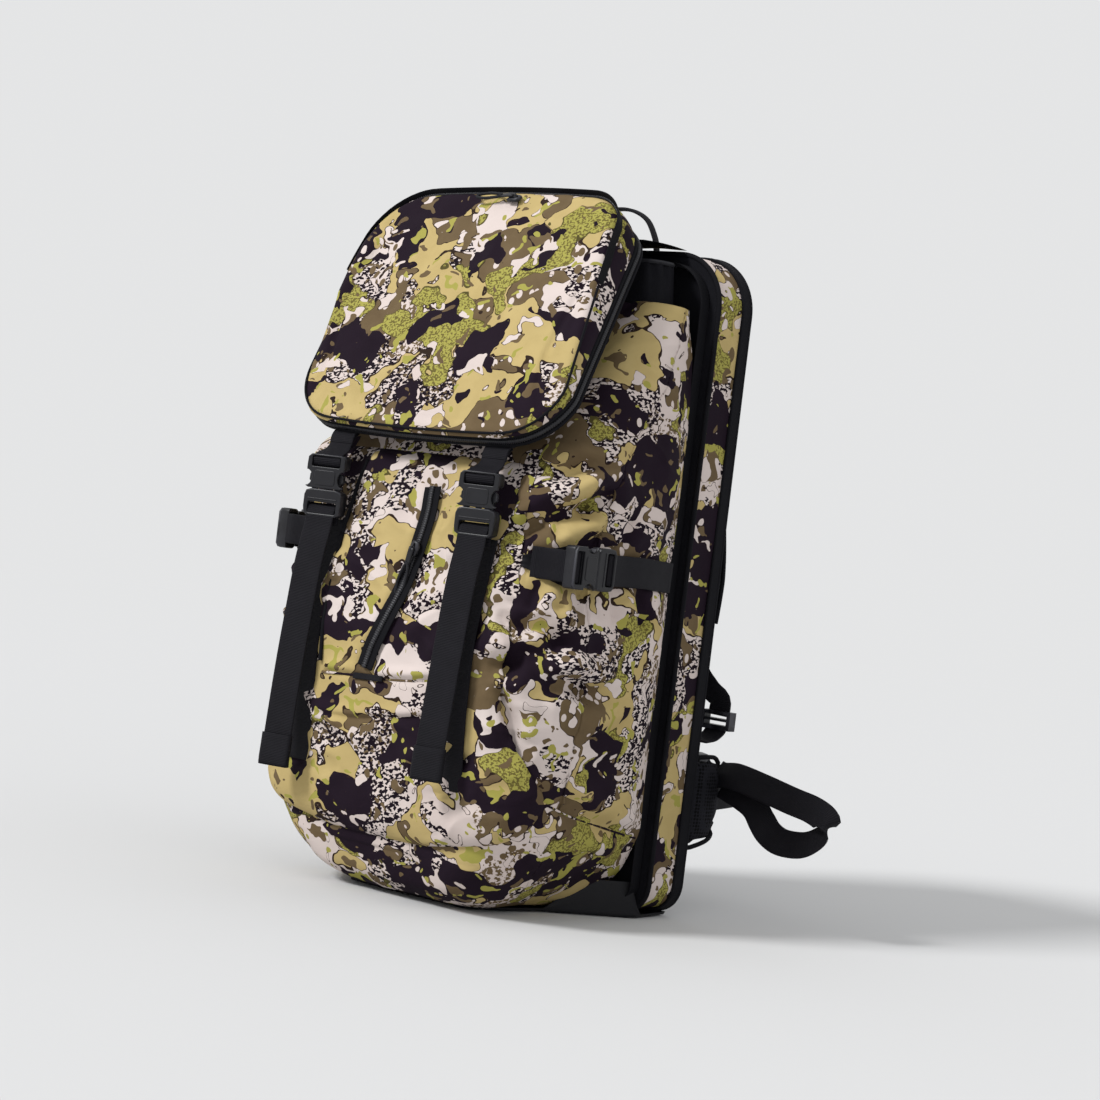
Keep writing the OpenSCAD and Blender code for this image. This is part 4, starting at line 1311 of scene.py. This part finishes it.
def back_system():
    rows = []
    for y in np.linspace(14.5, 56, 22):
        ring = back_ring(0.6, y, 420)
        lean = 0.9 * math.sin((y - 14.5) / 41.5 * math.pi)
        centre = np.array([0, y, 280])
        out = unit(ring - centre)
        puff = np.array([noise.noise(Vector((p[0] / 55, p[2] / 55, y / 30))) for p in ring])
        rows.append(ring + out * ((puff - 0.2) * lean * 1.6)[:, None])
    surface("gusset", rows, "camo_side", "pack", "camo_fabric", ["side_gusset"], wrap=True)
    back_panel("front_face", 13.0, -1, "black", "black_fabric", ["frame_front_panel"], 0.8)
    back_panel("rear_face", 56.8, 1, "mesh", "spacer_mesh", ["frame_rear_panel"], 1.0)
    tube("front_binding", back_ring(1.0, 14.2, 200), 2.3, "binding", "pack", closed=True)
    ring = back_ring(-0.2, 52, 220)
    mesh = strap_mesh("rear_binding", ring, (0, 1.0, 0), 12.5, 2.6, closed=True)
    link(mesh, "rear_binding", "binding", "pack", ["rear_piping"])
    tube("rear_piping_cord", back_ring(0.6, 57.4, 220), 2.6, "binding", "pack", closed=True)
    ring = back_ring(10, 6.5, 300)
    zip_line("bag_join_zip", ring, (0, 1.0, 0), "pack", 11.5, 5.0, ["bag_zip"], -1.2, closed=True)
    skirt()


BASE_EDGE = [(-130, 57.5), (-134, 12), (-112, -24), (-88, -64), (-80, -100), (-64, -127), (64, -127),
             (80, -100), (88, -64), (112, -24), (134, 12), (130, 57.5)]


def skirt():
    """Coated base: a flat foot, and a low wall that turns up to the bag's own foot."""
    flat = even(BASE_EDGE, 200, closed=True)
    centre = np.array([0, -20.0])
    rows = []
    for t, z in [(0.02, 0.3), (0.3, 0.3), (0.6, 0.3), (0.85, 0.3), (0.97, 0.4), (0.995, 1.2), (1.0, 3.0)]:
        rows.append(np.column_stack([centre + (flat - centre) * t, np.full(len(flat), z)]))
    for t, z in [(1.0, 6), (1.0, 10), (1.005, 18), (0.99, 30)]:
        p = centre + (flat - centre) * t
        rise = np.clip((p[:, 1] + 58) / 30, 0, 1) * np.clip((14 - p[:, 1]) / 8, 0, 1)
        p[:, 1] = np.minimum(p[:, 1], 57.5)
        rows.append(np.column_stack([p, 3.4 + (z - 3.4) * rise]))
    surface("base_cover", rows, "coated", "pack", "black_fabric", ["base_panel"], wrap=True, flip=True)


# ---------------------------------------------------------------- collar and haul loop

def oval(w, front, rear, r, z, n):
    path = (arc(w - r, rear - r, r, 0, 90) + arc(-w + r, rear - r, r, 90, 180)
            + arc(-w + r, front + r, r, 180, 270) + arc(w - r, front + r, r, 270, 360))
    return np.column_stack([even(path, n, closed=True), np.full(n, z)])


def collar_piece():
    rows = []
    count = 300
    a = np.arange(count) / count * math.tau
    for t in np.linspace(0, 1, 26):
        ring = oval(116 - 5 * t, -42 + 4 * t, -1 - 4 * t, 16 - 2 * t, 501 + 40 * t, count)
        out = unit(ring - np.array([0, -21, ring[0, 2]]))
        gather = np.cos(a * 34 + 2 * np.sin(a * 5)) * (0.3 + 1.5 * t ** 2)
        ring = ring + out * (gather - 1.5)[:, None]
        rows.append(ring)
    piece = surface("collar", rows, "black", "pack", "black_fabric", ["snow_collar"], wrap=True)


def haul_pieces():
    foot, y, top = 42.0, 48.0, 597.0
    path = [(-foot, y, 561.5), (-foot + 3, y, 572), (-28, y, 588), (-10, y, top - 1), (10, y, top - 1),
            (28, y, 588), (foot - 3, y, 572), (foot, y, 561.5)]
    loop = strap("haul_web", path, (0, 1.0, 0), None, ["haul_loop"], 7, 3.0)
    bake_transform(loop)
    for side, tag in SIDES:
        tab = [(side * foot - 6, y, 557.4), (side * foot - 3, y, 558.4), (side * foot, y, 559.4),
               (side * foot + 3, y, 558.4), (side * foot + 6, y, 557.4)]
        strap("haul_tab_" + tag[0], tab, (0, 1.0, 0), "pack", shared(side, "haul_tabs"), 20, 1.4)


# ---------------------------------------------------------------- padding

PAD_VOXEL, PAD_PRESSURE, PAD_STEPS = 5.0, 4.0, 15


def inflate(name, mesh, body, replaced, keep):
    """Pads a closed form: even mesh, a short cloth run under pressure that moves it by keep mm at most,
    and one level of smoothing."""
    piece = link(mesh, name, "pad", None, replaced)
    bpy.context.view_layer.objects.active = piece
    remesh = piece.modifiers.new("even", "REMESH")
    remesh.mode = "VOXEL"
    remesh.voxel_size = PAD_VOXEL * MM
    apply(piece)
    start = np.empty(len(piece.data.vertices) * 3)
    piece.data.vertices.foreach_get("co", start)
    cloth = piece.modifiers.new("cloth", "CLOTH")
    cloth.settings.use_pressure = True
    cloth.settings.uniform_pressure_force = PAD_PRESSURE
    cloth.settings.effector_weights.gravity = 0
    cloth.settings.quality = 5
    for step in range(1, PAD_STEPS + 1):
        bpy.context.scene.frame_set(step)
    shape = piece.evaluated_get(bpy.context.evaluated_depsgraph_get()).data
    now = np.empty(len(start))
    shape.vertices.foreach_get("co", now)
    piece.modifiers.remove(cloth)
    move = (now - start).reshape(-1, 3)
    size = np.linalg.norm(move, axis=1, keepdims=True)
    move *= np.minimum(1, keep * MM / np.maximum(size, 1e-9))
    piece.data.vertices.foreach_set("co", start + move.ravel())
    bpy.context.scene.frame_set(1)
    smooth = piece.modifiers.new("smooth", "SMOOTH")
    smooth.iterations = 3
    apply(piece)
    subdiv = piece.modifiers.new("subdivide", "SUBSURF")
    subdiv.levels = subdiv.render_levels = 1
    apply(piece)
    dress(piece.data, "pad")
    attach(piece, body)


def apply(piece):
    """Applies every modifier on a piece to its mesh."""
    bpy.context.view_layer.update()
    shape = bpy.data.meshes.new_from_object(piece.evaluated_get(bpy.context.evaluated_depsgraph_get()))
    old = piece.data
    piece.modifiers.clear()
    piece.data = shape
    bpy.data.meshes.remove(old)
    shape.name = piece.name


def pad_profile(width, thick):
    """Flattened oval section of a padded strap."""
    n = 28
    a = np.arange(n) / n * math.tau
    c, s = np.cos(a), np.sin(a)
    x = np.sign(c) * np.abs(c) ** (2 / 3.2) * width / 2
    y = np.sign(s) * np.abs(s) ** (2 / 2.2) * thick / 2
    return np.column_stack([x, y])


def padded_run(points, across, widths, thick):
    """A padded strap's form, its path and its width along it."""
    path = smooth_path(points, 4)
    share = np.linspace(0, 1, len(points))
    where = np.linspace(0, 1, len(path))
    wide = np.interp(where, share, widths)
    lip = np.minimum(1, np.minimum(np.arange(len(path)), np.arange(len(path))[::-1]) / 3 + 0.55)
    profile = np.array([pad_profile(w * k, thick * k) for w, k in zip(wide, lip)])
    return grid_mesh("pad", sweep(path, across, profile), wrap=True, caps=True), path, wide


SHOULDER = [(44, 68, 540), (46, 78, 500), (51, 92, 450), (62, 99, 400), (78, 102, 340), (93, 98, 285),
            (104, 91, 234)]
WING = [(120, 71, 96), (126, 86, 97), (128, 102, 103), (124, 118, 104)]


def flipped(points, side):
    return [(side * x, y, z) for x, y, z in points]


def crosswise(path, axis):
    """Unit ways across a path, near an axis."""
    way = tangents(path)
    return unit(np.cross(way, np.cross(axis, way)))


def rims(stem, marks, path, over, wide, used, body):
    """Binding along both edges of a padded strap, through the points of its path that used picks."""
    for edge, mark in zip((-1, 1), marks):
        rim = path + over * (wide / 2 * edge)[:, None]
        tube(stem + mark, rim[used], 2.0, "binding", body)


STERNUM_Z, HIP_Z = 392, 106


def harness():
    """Shoulder pads with their bindings and strips, their webbing, and the chest strap."""
    for side, tag in SIDES:
        mesh, path, wide = padded_run(flipped(SHOULDER, side), (1, 0, 0), [62, 64, 64, 62, 58, 50, 32], 10)
        inflate("shoulder_pad_" + tag, mesh, "harness", ["shoulder_strap_" + tag], 1.0)
        over = crosswise(path, (1.0, 0, 0))
        rims("shoulder_rim_%s_" % tag, "io", path, over, wide, slice(2, -2, 3), "harness")
        down = unit(np.cross(over, tangents(path)))
        outer = down * (1 if down[len(down) // 2][1] > 0 else -1)
        strip = path + outer * 5.6
        strap("shoulder_strip_" + tag, strip[4:-1:4], (1, 0, 0), "harness", width=22, thick=1.4)
        web = [(104, 91, 240), (105.5, 90, 233), (110, 88, 210), (123, 91, 194), (133.5, 93.5, 185),
               (134, 93.5, 172)]
        strap("shoulder_web_" + tag, flipped(web, side), (1, 0, 0), "harness",
              shared(side, "shoulder_webbing"), 22)
        low = [(134, 91.5, 160), (134, 89, 157), (134, 80, 152), (134, 70, 150.4), (134, 66, 150)]
        strap("shoulder_web_low_" + tag, flipped(low, side), (1, 0, 0), "harness", width=22)
        lift = [(40, 77, 535), (43, 88, 515), (46, 96, 500), (51, 102, 458)]
        strap("load_lifter_" + tag, flipped(lift, side), (1, 0, 0), "harness",
              shared(side, "load_lifters"), 20)
    carry("ladder_locks", "plastic", 0.8)
    buckle_line("sternum", (0, 112.5, STERNUM_Z), 0.8, 0, "harness", "sternum_clip")
    for side, body, end in ((-1, "harness", 17.5), (1, "sternum_clip", 13)):
        run = [(x, y, STERNUM_Z) for x, y in ((62, 106.5), (45, 108.5), (30, 108.5), (end, 108.5))]
        strap("sternum_web_" + "lr"[side > 0], flipped(run, side), (0, 0, 1), body,
              shared(-side, "sternum_straps"), 20, 1.6)


def buckle_line(tag, centre, scale, gap, socket_body, plug_body):
    """A buckle across the wearer: socket on the left, plug on the right, faces towards +Y."""
    for half, kind, parts, x, body in (("_socket", "_female", female_meshes(), -gap, socket_body),
                                       ("_plug", "_male", male_meshes(), gap, plug_body)):
        place = frame_at(Vector(centre) + Vector((x, 0, 0)), Vector((0, -1, 0)), Vector((-1, 0, 0)))
        buckle(tag + half, parts, place, body, [tag + kind], scale)


def carry(node, mat, bevel=0.0):
    """Keeps a CAD node as it is, with a material and softened edges."""
    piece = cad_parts[node]
    piece.data.materials.clear()
    piece.data.materials.append(material(mat))
    if bevel:
        soft = piece.modifiers.new("edges", "BEVEL")
        soft.width = bevel * MM
        soft.segments = 2
        soft.limit_method = "ANGLE"


def hip_belt():
    """Padded wings with their bindings, the belt's webbing and buckle, and its loose tail."""
    for side, tag in SIDES:
        body = "hip_" + tag[0]
        mesh, path, wide = padded_run(flipped(WING, side), (0, 0, 1), [82, 78, 68, 46], 9)
        inflate("hip_pad_" + tag, mesh, body, ["hip_wing_" + tag], 1.0)
        rims("hip_rim_%s_" % tag, "bt", path, crosswise(path, (0, 0, 1.0)), wide, slice(1, -1, 2), body)
        end = 62 if side < 0 else 60
        run = [(124, 112, 104), (124, 120, 105), (121, 144, HIP_Z), (113, 164, HIP_Z), (98, 172, HIP_Z),
               (80, 172.4, HIP_Z), (end, 172, HIP_Z)]
        web = strap("hip_web_" + tag, flipped(run, side), (0, 0, 1), body if side < 0 else None,
                    ["hip_webbing_" + tag], 33, 2.0)
        if side > 0:
            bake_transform(web)
    buckle_line("hip", (0, 178.75, HIP_Z), 1.35, 34, "hip_l", "hip_clip")
    tail = [(124, 114, 121), (131, 112, 120), (152, 104, 122), (184, 98, 118), (216, 96, 112), (238, 96, 108),
            (252, 96, 102), (255, 96, 94), (246, 96, 84), (232, 96, 77), (212, 96, 76), (198, 97, 81),
            (188, 98, 90), (176, 102, 100), (160, 106, 106), (134, 114, 112)]
    strap("hip_tail", tail, (0, 0.45, 1), "hip_r", width=24, step=2)


def padded_box(name, box, corner, layers, shift, count, replaced, keep):
    """A pad against the back, from rounded boxes in x and z at several depths."""
    x0, x1, z0, z1 = box
    rows = []
    for grow, y in layers:
        flat = even(rounded_box(x0 - grow, x1 + grow, z0 - grow, z1 + grow, corner), count, closed=True)
        rows.append(np.column_stack([flat[:, 0] + shift, np.full(count, y), flat[:, 1]]))
    inflate(name, grid_mesh("pad", rows, wrap=True, caps=True), "pack", replaced, keep)


def back_padding():
    layers = ((-3, 58.2), (0, 59.5), (0.5, 62), (-1.5, 65), (-5, 66.4))
    for side, tag in SIDES:
        padded_box("back_pad_" + tag, (-34, 34, 186, 478), 18, layers, side * 50, 140,
                   shared(side, "back_pads"), 1.4)
    layers = ((-3, 58.2), (0, 60), (0.5, 66), (-2, 71), (-8, 74))
    padded_box("lumbar_cushion", (-110, 110, 58, 156), 28, layers, 0, 160, ["lumbar_pad"], 1.5)


# ---------------------------------------------------------------- building

def build():
    make_stage()
    make_camera()
    bag_piece()
    bag_seams()
    pocket_piece()
    lid_shell()
    lid_underside()
    lid_zips()
    lid_flap()
    lid_pullers()
    lid_straps()
    side_straps()
    back_system()
    collar_piece()
    haul_pieces()
    harness()
    hip_belt()
    back_padding()
    for node, mat in (("frame_sheet", "sheet"), ("frame_stays", "metal"), ("foam_core", "foam"),
                      ("collar_cord", "cord")):
        carry(node, mat)


build()
